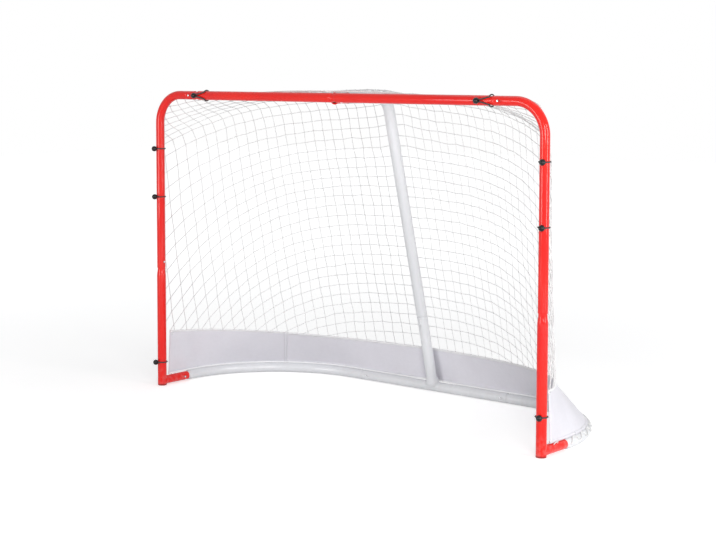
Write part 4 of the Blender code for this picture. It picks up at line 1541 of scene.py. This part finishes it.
    def build(self) -> None:
        """Make every tube."""
        for side, sign in SIDES:
            self.lower_post(side, sign)
            self.corner(side, sign)
            self.crossbar(side, sign)
            self.stub(side, sign)
            self.base_side(side, sign)
            self.foot_cap(side, sign)
        self.spigot()
        self.arm()
        self.prop()
        self.base_centre()


@dataclass
class BallTies:
    """Elastic loops with black balls that hold the net to the mouth."""

    sizes: GoalSizes
    ball_r: float = 0.0115
    ball_steps: int = 20
    bore_r: float = 0.0030
    bore_dip: float = 0.12
    cord_r: float = 0.0025
    cord_gap: float = 0.0004
    cord_step: float = 0.0016
    cord_end: float = 0.75
    loop_opening: float = math.radians(40.0)
    loop_steps: int = 32
    ball_gap: float = 0.0003
    ball_turn: float = math.radians(16.0)
    bar_spread: float = 0.045

    def ball(self, name: str, centre: Vector, along: Vector) -> None:
        """Make a moulded ball.

        Args:
            name: The tie's name.
            centre: The ball's centre.
            along: The axis of its bore.
        """
        low = math.asin(self.bore_r / self.ball_r)
        dip = self.ball_r * self.bore_dip
        lip = self.ball_r * math.cos(low)
        profile = [(self.bore_r * 0.6, -lip + 2 * dip), (self.bore_r * 0.8, -lip + dip)]
        for step in range(self.ball_steps + 1):
            angle = low + (math.pi - 2 * low) * step / self.ball_steps
            profile.append((self.ball_r * math.sin(angle), -self.ball_r * math.cos(angle)))
        profile += [(self.bore_r * 0.8, lip - dip), (self.bore_r * 0.6, lip - 2 * dip)]
        thing = finished("ball_" + name, turned(name, profile, centre, along, 36), TIE_RUBBER)
        install(thing, "frame", Slot.TIE_BALL, "tie_ball_" + name)

    def loop(self, name: str, spot: Vector, tube_r: float, out: Vector, along: Vector,
             skew: float) -> Vector:
        """The elastic cord round the tube and into its ball.

        Args:
            name: The tie's name.
            spot: Point on the tube's axis.
            tube_r: The tube's radius.
            out: Direction of the ball.
            along: The tube's axis.
            skew: How far along the tube the ball is pulled.

        Returns:
            The ball's centre.
        """
        reach = tube_r + self.cord_gap + self.cord_r
        ball = spot + out * (tube_r + self.ball_gap + self.ball_r) + along * skew
        start = spot + Matrix.Rotation(self.loop_opening, 3, along) @ (out * reach)
        points = arc(spot, start, along, 2 * (math.pi - self.loop_opening), self.loop_steps)
        first, last = (ball + (point - ball).normalized() * (self.ball_r * self.cord_end)
                       for point in (points[0], points[-1]))
        path = smooth_path([first, *points, last], self.cord_step)
        Cord(path, self.cord_r).lay("loop_" + name, TIE_BRAID, Slot.TIE_CORD, "tie_loop_" + name)
        return ball

    def build(self) -> None:
        """Make the three ties of each post and the two of the crossbar."""
        s = self.sizes
        for side, sign in SIDES:
            out = Vector((sign * math.sin(self.ball_turn), -math.cos(self.ball_turn), 0))
            for level in ("upper", "middle", "lower"):
                name = side + "_" + level
                height = Box.of("tie_ball_" + name).centre.z
                radius = s.upper_r if height > s.post_joint_z else s.post_r
                centre = self.loop(name, s.on_post(sign, height), radius, out, UP, 0.0)
                self.ball(name, centre, (out.cross(UP) + out * 0.4).normalized())
        for side, _ in SIDES:
            name = "bar_" + side
            spot = s.on_bar(Box.of("tie_ball_" + name).centre.x + self.bar_spread)
            centre = self.loop(name, spot, s.bar_r, -BACK, RIGHT, -self.bar_spread)
            self.ball(name, centre, (RIGHT - BACK * 0.3).normalized())


@dataclass
class NetSurface:
    """The surface that the net hangs in, as rows from the crossbar and shares out to the posts."""

    sizes: GoalSizes
    tie_depth: float = 0.0056
    gap: float = 0.0003
    twine_r: float = 0.001
    leg_clearance: float = 0.0036
    side_exponent: float = 1.8
    back_exponent: float = 1.6
    low_spread: float = 0.35
    row_power: float = 3.3
    top_drop: float = 0.59
    side_drop: float = 1.62
    corner_row: float = 0.37
    ramp_row: float = 0.10
    over_x: float = 0.06
    behind_x: float = 0.60
    slump: float = 0.026
    slump_length: float = 0.80
    skirt_back_top: float = 0.185
    skirt_front_top: float = 0.230
    least_row: float = 0.5
    most_row: float = 1.7
    halvings: int = 22
    row_steps: int = 60

    def __post_init__(self) -> None:
        """Work out the reaches and keep room for the rows."""
        s = self.sizes
        self.reach = s.bar_r + self.tie_depth + self.gap + self.twine_r
        self.edge_depth = s.post_r + self.tie_depth + self.gap
        self.top_z = s.bar_z + self.reach
        self.leg_reach = s.arm_r + self.leg_clearance + self.twine_r
        self.rows: dict[float, tuple[np.ndarray, np.ndarray]] = {}
        self.half_lengths: dict[float, float] = {}

    def middle(self, row: float) -> tuple[float, float]:
        """Follow the net down the middle plane, over the support's bend.

        Args:
            row: Distance from the crossbar.

        Returns:
            Depth and height.
        """
        s = self.sizes
        turn = math.pi / 2 - s.leg_angle
        radius = s.arm_bend_radius + self.leg_reach
        corner = s.leg_depth(self.top_z) + self.leg_reach / math.cos(s.leg_angle)
        flat = corner - radius * math.tan(turn / 2)
        if row < flat:
            return row, self.top_z
        bend = min((row - flat) / radius, turn)
        depth = flat + radius * math.sin(bend)
        height = self.top_z - radius * (1 - math.cos(bend))
        rest = max(0.0, row - flat - radius * turn)
        return depth + rest * s.leg_down.y, height + rest * s.leg_down.z

    def edge(self, row: float) -> tuple[float, float, float]:
        """Where a row ends, behind the corner tube or post."""
        s = self.sizes
        height = s.bar_z - self.top_drop * min(row, self.corner_row)
        height -= self.side_drop * max(0.0, row - self.corner_row)
        rise = max(0.0, height - (s.bar_z - s.corner_radius))
        x = s.post_x - s.corner_radius + math.sqrt(max(0.0, s.corner_radius ** 2 - rise ** 2))
        return x, self.edge_depth, height

    def row(self, row: float) -> tuple[np.ndarray, np.ndarray]:
        """Lay one row from the middle to the post.

        Args:
            row: Distance from the crossbar.

        Returns:
            The shares of its length, and their points.
        """
        if row in self.rows:
            return self.rows[row]
        s = self.sizes
        depth, height = self.middle(row)
        edge_x, edge_y, edge_z = self.edge(row)
        low = 1 - min(1.0, max(0.0, height / s.bar_z))
        back_exponent = self.back_exponent + self.low_spread * low ** 3
        angle = np.linspace(0, math.pi / 2, self.row_steps + 1)
        x = edge_x * np.sin(angle) ** (2 / self.side_exponent)
        inward = np.cos(angle) ** (2 / back_exponent)
        steps = np.hypot(np.diff(x), np.diff(depth * inward))
        share = np.concatenate([[0], np.cumsum(steps)])
        self.half_lengths[row] = float(share[-1])
        share /= share[-1]
        z = height - (height - edge_z) * share ** self.row_power
        lean = s.leg_slope * (height - z) * min(1.0, row / self.corner_row)
        y = edge_y + (depth - edge_y + lean) * inward
        span = np.clip((x - self.over_x) / (edge_x - self.over_x), 0, 1)
        hang = math.sin(math.pi * min(1.0, row / self.slump_length))
        z -= self.slump * hang * np.sqrt(4 * span * (1 - span))
        near_bar = max(0.0, 1 - row / self.ramp_row)
        wrap = np.clip((x - self.over_x) / (self.behind_x - self.over_x), 0, 1) * math.pi / 2
        y += (self.reach * np.sin(wrap) - y) * near_bar
        z += (s.bar_z + self.reach * np.cos(wrap) - z) * near_bar
        self.rows[row] = share, np.stack([x, y + s.line_y, z])
        return self.rows[row]

    def point(self, row: float, share: float) -> Vector:
        """Point on a row at a signed share of the way out to the post."""
        shares, points = self.row(row)
        x, y, z = (float(np.interp(abs(share), shares, axis)) for axis in points)
        return Vector((math.copysign(x, share), y, z))

    def half_length(self, row: float) -> float:
        """Length of a row from the middle to the post."""
        self.row(row)
        return self.half_lengths[row]

    def above_skirt(self, point: Vector) -> bool:
        """Whether a point lies above the skirt's top edge."""
        rise = self.skirt_front_top - self.skirt_back_top
        return point.z > self.skirt_back_top + rise * min(1.0, abs(point.x) / self.sizes.post_x) ** 2

    def last_row(self, share_at: Callable[[float], float]) -> float:
        """The row on which a line down the net, by its share on each row, meets the skirt's top."""
        return boundary(self.least_row, self.most_row, self.halvings,
                        lambda row: self.above_skirt(self.point(row, share_at(row))))[0]


@dataclass(frozen=True)
class Stop:
    """A place where a line of the net is tied, with its line down and its row as the key."""

    key: tuple[int, int]
    share: float
    row: float


@dataclass
class Panel:
    """The points and edges of one packed panel of the net."""

    points: Ring = field(default_factory=list)
    edges: list[tuple[int, int]] = field(default_factory=list)
    index: dict[tuple[int, int], int] = field(default_factory=dict)

    def knot(self, stop: Stop, place: Callable[[Stop], Vector]) -> int:
        """Number of a stop's point, which is placed at its first use."""
        if stop.key not in self.index:
            self.index[stop.key] = len(self.points)
            self.points.append(place(stop))
        return self.index[stop.key]


@dataclass
class Net:
    """The knotted net, its edge rope and the four panels of the frame that it stands for."""

    sizes: GoalSizes
    surface: NetSurface
    mesh: float = 0.0435
    first_row: float = 0.006
    twine_r: float = 0.0013
    knot_r: float = 0.0028
    rope_r: float = 0.0020
    rope_step: float = 0.006
    crease_share: float = 0.55
    ridge_row: float = 0.36
    slack: float = 0.0013
    least_share: float = 0.3
    halvings: int = 20
    samples: int = 81
    post_samples: int = 60
    seed: int = 11

    def __post_init__(self) -> None:
        """Lay out the lattice: where each line down starts and ends, and where each row ends."""
        surface = self.surface
        self.foot_row = surface.last_row(lambda row: 1.0)
        self.starts: list[float] = []
        self.ends: list[float] = []
        start = self.first_row
        while start < self.foot_row:
            out = len(self.starts) * self.mesh
            self.starts.append(start)
            self.ends.append(surface.last_row(lambda row: self.share(out, row)))
            start = self.row_as_long_as(out + self.mesh)
        self.columns = range(1 - len(self.starts), len(self.starts))
        fine = np.linspace(0, 1, self.samples)
        feet = np.array([surface.last_row(lambda row: float(share)) for share in fine])
        count = int((max(self.ends) - self.first_row) / self.mesh)
        self.rows = [self.first_row + line * self.mesh for line in range(count + 1)]
        self.row_shares = [1.0 if row <= feet[-1] else float(np.interp(-row, -feet, fine))
                           for row in self.rows]

    def share(self, out: float, row: float) -> float:
        """Share of a row at a distance from the middle, at most the post's."""
        return min(1.0, out / self.surface.half_length(row))

    def row_as_long_as(self, out: float) -> float:
        """The first row that reaches a distance from the middle."""
        if self.surface.half_length(self.first_row) >= out:
            return self.first_row
        return boundary(self.first_row, self.surface.most_row, self.halvings,
                        lambda row: self.surface.half_length(row) < out)[1]

    def knotted(self, column: int, line: int) -> bool:
        """Tell whether a line down and a row cross clear of the net's edges.

        Args:
            column: Number of the line down, from the middle one.
            line: Number of the row.

        Returns:
            True where they have a knot.
        """
        row = self.rows[line]
        spare = self.least_share * self.mesh
        room = self.row_shares[line] * self.surface.half_length(row) - spare
        if row > self.ends[abs(column)] - spare or abs(column) * self.mesh > room:
            return False
        return line == 0 or row > self.starts[abs(column)] + spare

    def panel_of(self, share: float, row: float) -> str:
        """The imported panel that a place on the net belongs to."""
        if abs(share) > self.crease_share:
            return "side_left" if share < 0 else "side_right"
        return "top" if row < self.ridge_row else "back"

    def stop(self, column: int, line: int, row: float) -> Stop:
        """Where a line down lies on a row."""
        share = math.copysign(self.share(abs(column) * self.mesh, row), column)
        return Stop((column, line), share, row)

    def lines_down(self) -> list[list[Stop]]:
        """Every line down the net, as its stops."""
        made = []
        for column in self.columns:
            start = self.starts[abs(column)]
            stops = [self.stop(column, line, row) for line, row in enumerate(self.rows)
                     if self.knotted(column, line)]
            if start > self.first_row:
                stops.insert(0, Stop((column, -1), math.copysign(1.0, column), start))
            made.append([*stops, self.stop(column, -2, self.ends[abs(column)])])
        return made

    def lines_across(self) -> list[list[Stop]]:
        """Every row of the net, as its stops."""
        made = []
        edge = len(self.starts)
        for line, row in enumerate(self.rows):
            stops = [self.stop(column, line, row) for column in self.columns if self.knotted(column, line)]
            end = self.row_shares[line]
            if stops:
                made.append([Stop((-edge, line), -end, row), *stops, Stop((edge, line), end, row)])
        return made

    def build_panels(self) -> None:
        """Lay twine along the lattice's lines, with a knot where they cross."""
        panels = {name: Panel() for name in ("top", "back", "side_left", "side_right")}
        edge = len(self.starts)
        rng = np.random.default_rng(self.seed)
        loose = rng.normal(0.0, self.slack, (2 * edge + 1, len(self.rows), 3))

        def place(stop: Stop) -> Vector:
            """A stop's point, a little off where nothing holds it."""
            column, line = stop.key
            point = self.surface.point(stop.row, stop.share)
            if line > 0 and abs(column) < edge:
                point += Vector([float(v) for v in loose[column + edge, line]])
            return point

        for stops in self.lines_down() + self.lines_across():
            for a, b in zip(stops, stops[1:]):
                panel = panels[self.panel_of((a.share + b.share) / 2, (a.row + b.row) / 2)]
                panel.edges.append((panel.knot(a, place), panel.knot(b, place)))
        for name, panel in panels.items():
            thing = placed("net_piece_" + name, simple_mesh("net_" + name, panel.points, panel.edges))
            TwineTree().run(thing, NET_TWINE, twine_radius=self.twine_r, knot_radius=self.knot_r)
            install(thing, "frame", Slot.NET_TWINE, "net_" + name)

    def build_rope(self) -> None:
        """Lay the rope along the net's mouth edge."""
        shares = np.linspace(-1, 1, self.samples)
        across = [self.surface.point(self.first_row, share) for share in shares]
        rows = np.linspace(self.first_row, self.foot_row, self.post_samples)[1:]
        left, right = ([self.surface.point(float(row), sign) for row in rows] for sign in (-1.0, 1.0))
        path = smooth_path([*left[::-1], *across, *right], self.rope_step)
        Cord(path, self.rope_r, 8).lay("net_edge_rope", EDGE_ROPE, Slot.NET_TWINE)

    def build(self) -> None:
        """Make the net and its rope."""
        self.build_panels()
        self.build_rope()


@dataclass
class Skirt:
    """The cloth skirt round the foot of the net, with its hems, seams, stitches and lacing."""

    sizes: GoalSizes
    surface: NetSurface
    front_depth: float = 0.045
    front_halvings: int = 20
    top_samples: int = 121
    foot_samples: int = 91
    seam_share: float = 0.56
    seam_gap: float = 0.0019
    foot_bulge: float = 0.0235
    foot_half: float = 0.12
    thickness: float = 0.0011
    foot_gap: float = 0.0003
    foot_turn: float = math.radians(20.0)
    foot_rope_r: float = 0.0030
    foot_rope_turn: float = math.radians(4.0)
    foot_rope_step: float = 0.006
    tape_height: float = 0.010
    hem_height: float = 0.014
    seam_width: float = 0.012
    proud: float = 0.0005
    columns: int = 120
    rows: int = 12
    wave: float = 0.0018
    broad_waves: float = 47.0
    short_waves: float = 83.0
    stitch_inset: float = 0.0016
    stitch_pitch: float = 0.005
    thread_r: float = 0.0005
    stitch_length: float = 0.0038
    stitch_bends: int = 160
    lace_r: float = 0.002
    lace_pitch: float = 0.07
    lace_low: float = math.radians(8.0)
    lace_high: float = math.radians(66.0)
    lace_steps: int = 24
    grommet_r: float = 0.0052
    grommet_wire_r: float = 0.0013
    grommet_inset: float = 0.014
    grommet_rise: float = 0.93
    hook_depth: float = 0.078
    hook_lean: float = math.radians(35.0)
    hook_span: float = 0.024
    hook_height: float = 0.010
    hook_wire_r: float = 0.0015
    hook_steps: int = 24

    def __post_init__(self) -> None:
        """Work out the skirt's length and where its top meets the net."""
        s = self.sizes
        front, _ = boundary(0.5, 1.0, self.front_halvings,
                            lambda share: self.foot_of(share).y - s.line_y > self.front_depth)
        self.shares = np.linspace(0, 1, self.top_samples)
        self.tops = np.array([self.foot_of(float(share) * front) for share in self.shares])
        self.arc_x = s.post_x - s.base_bend_radius
        self.arc_y = s.base_rear_y - s.base_bend_radius
        self.bend_length = s.base_bend_radius * math.pi / 2
        straight = self.arc_y - s.line_y - self.front_depth
        self.length = self.arc_x + self.bend_length + straight
        self.lace_turns = int(self.bend_length / self.lace_pitch)

    def foot_of(self, share: float) -> Vector:
        """Where a share of the net meets the skirt."""
        return self.surface.point(self.surface.last_row(lambda row: share), share)

    def base_point(self, distance: float) -> Vector:
        """Point above the base tube's axis, a distance from its middle."""
        s = self.sizes
        if distance < self.arc_x:
            return Vector((distance, s.base_rear_y, 0))
        bend = (distance - self.arc_x) / s.base_bend_radius
        if bend < math.pi / 2:
            return Vector((self.arc_x + s.base_bend_radius * math.sin(bend),
                           self.arc_y + s.base_bend_radius * math.cos(bend), 0))
        rest = distance - self.arc_x - self.bend_length
        return Vector((s.post_x, self.arc_y - rest, 0))

    def on_tube(self, share: float, lift: float, turn: float) -> Vector:
        """Point on the outside of the base tube.

        Args:
            share: Share of the way from the middle to the skirt's front edge.
            lift: Height above the tube's surface.
            turn: Turn about the tube's axis, outwards from its top.

        Returns:
            The point.
        """
        s = self.sizes
        distance = share * self.length
        bend = min(math.pi / 2, max(0.0, (distance - self.arc_x) / s.base_bend_radius))
        reach = s.base_r + self.foot_gap + lift
        point = self.base_point(distance)
        point += Vector((math.sin(bend), math.cos(bend), 0)) * (reach * math.sin(turn))
        point.y += self.foot_bulge * max(0.0, 1 - point.x / self.foot_half)
        point.z = s.base_z + reach * math.cos(turn)
        return point

    def foot_rope(self) -> None:
        """Lay the cord along the foot of the cloth, on the floor tube."""
        half = [self.on_tube(float(share), self.foot_rope_r, self.foot_rope_turn)
                for share in np.linspace(0, 1, self.foot_samples)]
        path = [Vector((-p.x, p.y, p.z)) for p in half[:0:-1]] + half
        cord = Cord(smooth_path(path, self.foot_rope_step), self.foot_rope_r, 10)
        cord.lay("foot_rope", FOOT_BRAID, Slot.LACING_CORD)

    def at(self, share: float, rise: float) -> Vector:
        """Point of the cloth at a share along it and a rise from its foot to its top.

        Args:
            share: Signed share of the way from the middle to the front edge.
            rise: Share of the way up the cloth.

        Returns:
            The point in the middle of the cloth's thickness.
        """
        top = Vector([float(np.interp(abs(share), self.shares, self.tops[:, k])) for k in range(3)])
        low = self.on_tube(abs(share), self.thickness / 2 + self.proud, self.foot_turn)
        point = low.lerp(top, rise)
        ripple = math.sin(share * self.broad_waves) + 0.6 * math.sin(share * self.short_waves + 1.3)
        turn = abs(share) * math.pi / 2
        way = Vector((math.sin(turn), math.cos(turn), 0))
        point += way * (math.sin(math.pi * rise) * self.wave * ripple)
        point.x = math.copysign(point.x, share)
        return point

    def outward(self, share: float, rise: float) -> Vector:
        """Direction out of the goal, square to the cloth."""
        step = 0.002
        along = self.at(share + step, rise) - self.at(share - step, rise)
        up = self.at(share, min(1.0, rise + step)) - self.at(share, max(0.0, rise - step))
        normal = along.cross(up).normalized()
        return -normal if normal.y < 0 and abs(share) < 0.5 or normal.x * share < 0 else normal

    def height(self, share: float) -> float:
        """Height of the cloth at a share, along its slope."""
        return (self.at(share, 1.0) - self.at(share, 0.0)).length

    def strip(self, name: str, shares: tuple[float, float], rises: tuple[float, float],
              steps: tuple[int, int], thickness: float, finish: Finish) -> bpy.types.Object:
        """Make a strip of cloth, thickened, with its cloth's own map.

        Args:
            name: The piece's name.
            shares: Where it starts and ends along the skirt.
            rises: Its lower and upper rise.
            steps: Steps along it and up it.
            thickness: Its thickness.
            finish: Its finish.

        Returns:
            The piece, as a plain mesh.
        """
        columns, rows = steps
        grid = [[self.at(float(share), float(rise)) for rise in np.linspace(*rises, rows + 1)]
                for share in np.linspace(*shares, columns + 1)]
        shape = bmesh.new()
        uv = shape.loops.layers.uv.new("cloth")
        verts = [[shape.verts.new(point) for point in column] for column in grid]
        run = lengths([column[0] for column in grid])
        heights = lengths(grid[columns // 2])
        order = -1 if shares[1] > shares[0] else 1
        for i in range(columns):
            for j in range(rows):
                corners = ((i, j), (i + 1, j), (i + 1, j + 1), (i, j + 1))[::order]
                made = shape.faces.new([verts[a][b] for a, b in corners])
                for loop, (a, b) in zip(made.loops, corners):
                    loop[uv].uv = (run[a], heights[b])
        mesh = bpy.data.meshes.new(name)
        shape.to_mesh(mesh)
        shape.free()
        mesh.shade_smooth()
        thing = finished(name, mesh, finish)
        thicken = thing.modifiers.new("thickness", "SOLIDIFY")
        thicken.thickness = thickness
        thicken.offset = 0.0
        return settle(thing)

    def stitches(self, name: str, lines: Sequence[tuple[tuple[float, float], tuple[float, float]]],
                 lift: float) -> bpy.types.Object:
        """Sew rows of stitches on both faces of the cloth.

        Args:
            name: The piece's name.
            lines: Start and end of each row, as share and rise.
            lift: Distance of the thread from the middle of the cloth.

        Returns:
            The piece, as a plain mesh.
        """
        paths = []
        for start, end in lines:
            count = 3 + int(abs(end[0] - start[0]) * self.stitch_bends)
            ways = [(float(a), float(b)) for a, b in np.linspace(start, end, count)]
            for face in (-lift, lift):
                paths.append([self.at(*way) + self.outward(*way) * face for way in ways])
        thing = line_object(name, paths)
        StitchTree().run(thing, THREAD, pitch=self.stitch_pitch, thread_radius=self.thread_r,
                         stitch_length=self.stitch_length)
        return install(thing, "frame", Slot.SKIRT_CLOTH)

    def panel(self, name: str, node: str, shares: tuple[float, float], columns: int,
              rests_on: Sequence[str]) -> None:
        """Make one panel with its tape, hem and stitches.

        Args:
            name: Short name of the panel.
            node: The node that it replaces.
            shares: Where it starts and ends along the skirt.
            columns: Steps along it.
            rests_on: The tubes that it ends on; not used.
        """
        height = self.height((shares[0] + shares[1]) / 2)
        tape = self.tape_height / height
        hem = self.hem_height / height
        inset = self.stitch_inset / height
        thick = self.thickness + 2 * self.proud
        cloth = self.strip("skirt_piece_" + name, shares, (0.0, 1.0), (columns, self.rows), self.thickness,
                           SKIRT_CLOTH)
        install(cloth, "frame", Slot.SKIRT_CLOTH, node)
        with_it = [
            self.strip("head_tape_" + name, shares, (1.0 - tape, 1.0), (columns, 2), thick, HEM_TAPE),
            self.strip("foot_hem_" + name, shares, (0.0, hem), (columns, 2), thick, SKIRT_CLOTH),
        ]
        for thing in with_it:
            install(thing, "frame", Slot.SKIRT_CLOTH)
        rises = (1.0 - tape + inset, 1.0 - inset, hem - inset)
        lines = [((shares[0], rise), (shares[1], rise)) for rise in rises]
        with_it.append(self.stitches("stitches_" + name, lines, thick / 2))

    def seam(self, side: str, sign: int) -> None:
        """Tape the seam between two panels and sew it with two rows of stitches."""
        middle = sign * (self.seam_share + self.seam_gap / 2)
        half = self.seam_width / 2 / self.length
        thick = self.thickness + 2.4 * self.proud
        thing = self.strip("seam_tape_" + side, (middle - half, middle + half), (0.0, 1.0), (2, 12), thick,
                           SKIRT_CLOTH)
        install(thing, "frame", Slot.SKIRT_CLOTH)
        sewn = (middle - half * 0.6, middle + half * 0.6)
        self.stitches("seam_stitches_" + side, [((x, 0.02), (x, 0.98)) for x in sewn], thick / 2)

    def grommets(self, side: str, sign: int) -> None:
        """Set eyelets in the front corner and along the laced foot."""
        low = self.hem_height / 2 / self.height(0.7)
        spots = [(1.0 - self.grommet_inset / self.length, self.grommet_rise)]
        spots += [((self.arc_x + self.lace_pitch * (index + 0.5)) / self.length, low)
                  for index in range(self.lace_turns)]
        thing = spot_object("eyelets_" + side, [self.at(sign * share, rise) for share, rise in spots],
                            [self.outward(sign * share, rise) for share, rise in spots])
        EyeletTree().run(thing, GROMMET_STEEL, ring_radius=self.grommet_r, wire_radius=self.grommet_wire_r)
        install(thing, "frame", Slot.SKIRT_CLOTH)

    def lacing(self, side: str, sign: int) -> None:
        """Lay the cord that zigzags over the outside of the base's bend."""
        steps = self.lace_steps * self.lace_turns
        path = []
        for index in range(steps + 1):
            wave = 0.5 - 0.5 * math.cos(math.tau * index / self.lace_steps)
            rise = self.lace_low + (self.lace_high - self.lace_low) * wave
            share = (self.arc_x + self.bend_length * index / steps) / self.length
            point = self.on_tube(share, self.lace_r, math.pi / 2 - rise)
            path.append(Vector((sign * point.x, point.y, point.z)))
        Cord(path, self.lace_r, 10).lay("lacing_piece_" + side, LACING_BRAID, Slot.LACING_CORD,
                                        "lacing_" + side)

    def hook(self, side: str, sign: int) -> None:
        """Bend the wire hook that leans outwards from a floor stub."""
        s = self.sizes
        path = []
        for index in range(self.hook_steps + 1):
            angle = math.pi * index / self.hook_steps
            reach = s.stub_r + self.hook_wire_r / 4 + self.hook_height * math.sin(angle)
            path.append(s.at(sign * (s.post_x + reach * math.sin(self.hook_lean)),
                             self.hook_depth - self.hook_span / 2 * math.cos(angle),
                             s.base_z + reach * math.cos(self.hook_lean)))
        Cord(path, self.hook_wire_r).lay("hook_piece_" + side, HOOK_PAINT, Slot.HOOK_WIRE,
                                         "lace_hook_" + side)

    def build(self) -> None:
        """Make the skirt."""
        seam = self.seam_share
        tubes = ["base_rear_tube", "base_bend_left", "base_bend_right"]
        self.panel("back", "skirt_back", (-seam, seam), self.columns, tubes)
        for side, sign in SIDES:
            self.panel(side, "skirt_side_" + side, (sign * (seam + self.seam_gap), sign * 1.0),
                       self.columns // 2, ["base_bend_" + side])
            self.seam(side, sign)
            self.grommets(side, sign)
            self.lacing(side, sign)
            self.hook(side, sign)
        self.foot_rope()


# Camera, light and floor


@dataclass
class Studio:
    """The camera at the photograph's angle, the lamps, the world and the floor."""

    sizes: GoalSizes
    image_width: int = 716
    focal_px: float = 1612.07
    sensor: float = 36.0
    yaw: float = 0.7549
    pitch: float = 0.0880
    roll: float = -0.0053
    eye: tuple[float, float, float] = (3.8872, -4.7907, 1.3978)
    shift: tuple[float, float] = (0.2, -0.1)
    floor_half: float = 14.0
    floor_drop: float = 0.0005
    floor_colour: Colour = (0.80, 0.80, 0.80, 1)
    floor_glow: tuple[float, float] = (0.50, 0.76)
    glow_span: tuple[float, float] = (1.5, 5.0)
    world_light: float = 0.30
    world_colour: Colour = (0.97, 0.98, 1.0, 1)

    def camera(self) -> None:
        """Place the camera."""
        data = bpy.data.cameras.new("camera")
        data.sensor_width = self.sensor
        data.sensor_fit = "HORIZONTAL"
        data.lens = self.focal_px * self.sensor / self.image_width
        data.shift_x, data.shift_y = self.shift
        data.clip_start = 0.05
        data.clip_end = 100.0
        level = Vector((math.cos(self.yaw), math.sin(self.yaw), 0))
        flat = math.cos(self.pitch)
        forward = Vector((-math.sin(self.yaw) * flat, math.cos(self.yaw) * flat, -math.sin(self.pitch)))
        up = level.cross(forward)
        right = level * math.cos(self.roll) + up * math.sin(self.roll)
        above = up * math.cos(self.roll) - level * math.sin(self.roll)
        turn = Matrix((right, above, -forward)).transposed().to_4x4()
        thing = placed("camera", data)
        thing.matrix_world = Matrix.Translation(self.sizes.at(*self.eye)) @ turn
        bpy.context.scene.camera = thing

    def lamp(self, name: str, place: tuple[float, float, float], aim: tuple[float, float, float],
             size: tuple[float, float], power: float) -> None:
        """Add a soft box.

        Args:
            name: The lamp's name.
            place: Where it stands.
            aim: The point that it faces.
            size: Its width and height.
            power: Its power in watts.
        """
        data = bpy.data.lights.new(name, "AREA")
        data.shape = "RECTANGLE"
        data.size, data.size_y = size
        data.energy = power
        thing = placed(name, data)
        thing.location = place
        thing.rotation_euler = (Vector(aim) - Vector(place)).to_track_quat("-Z", "Y").to_euler()

    def lamps(self) -> None:
        """The soft boxes round the goal."""
        self.lamp("key_box", (3.6, -3.6, 1.7), (0.1, 0, 0.6), (1.6, 1.6), 100)
        self.lamp("side_box", (5.0, -0.2, 1.6), (0.4, 0.1, 0.6), (1.2, 2.6), 118)
        self.lamp("fill_box", (-1.6, -5.2, 1.0), (0, 0, 0.5), (2.4, 1.6), 82)
        self.lamp("top_box", (0.0, 0.6, 4.2), (0, 0.1, 0), (3.4, 2.4), 18)

    @staticmethod
    def seen(graph: Graph) -> bpy.types.NodeSocket:
        """One for rays that show the studio: from the camera, off gloss or through glass."""
        path = graph.add("ShaderNodeLightPath").outputs
        straight = graph.math("MAXIMUM", path["Is Camera Ray"], path["Is Transmission Ray"])
        return graph.math("MAXIMUM", straight, path["Is Glossy Ray"])

    def world(self) -> None:
        """White behind everything that the camera sees, and soft grey light on the goal."""
        world = bpy.data.worlds.new("studio")
        bpy.context.scene.world = world
        world.use_nodes = True
        world.node_tree.nodes.clear()
        graph = Graph(world.node_tree)
        light = {"Color": self.world_colour, "Strength": self.world_light}
        white = {"Color": (1, 1, 1, 1), "Strength": 1.0}
        first, second = (graph.add("ShaderNodeBackground", item).outputs[0] for item in (light, white))
        both = graph.add("ShaderNodeMixShader", {0: self.seen(graph), 1: first, 2: second})
        graph.add("ShaderNodeOutputWorld", {"Surface": both.outputs[0]})

    def floor(self) -> None:
        """A pale floor that keeps the goal's shadow and shows white to the camera."""
        half = self.floor_half
        corners = [(-half, -half, 0), (half, -half, 0), (half, half, 0), (-half, half, 0)]
        mesh = simple_mesh("floor", corners, faces=[(0, 1, 2, 3)])
        material = bpy.data.materials.new("floor_pale")
        material.use_nodes = True
        graph = Graph(material.node_tree)
        place = graph.add("ShaderNodeTexCoord").outputs["Object"]
        reach = graph.add("ShaderNodeVectorMath", {0: place}, operation="LENGTH").outputs["Value"]
        glow = graph.ramp(reach, *self.glow_span, *self.floor_glow)
        graph.fill(material.node_tree.nodes["Principled BSDF"], {
            "Base Color": self.floor_colour, "Roughness": 0.9, "Emission Color": (1, 1, 1, 1),
            "Emission Strength": graph.math("MULTIPLY", self.seen(graph), glow),
        })
        mesh.materials.append(material)
        thing = placed("floor", mesh)
        thing.location.z = -self.floor_drop

    def build(self) -> None:
        """Set the view and make the studio."""
        bpy.context.scene.view_settings.view_transform = "Standard"
        self.camera()
        self.lamps()
        self.world()
        self.floor()


def main() -> None:
    """Build the goal's pieces in order."""
    logging.basicConfig(level=logging.INFO, format="%(name)s: %(message)s")
    sizes = GoalSizes.from_frame()
    Studio(sizes).build()
    clips = SnapClips(sizes)
    clips.build()
    TubeFrame(sizes, clips).build()
    BallTies(sizes).build()
    surface = NetSurface(sizes)
    Net(sizes, surface).build()
    Skirt(sizes, surface).build()


if __name__ == "__main__":
    main()
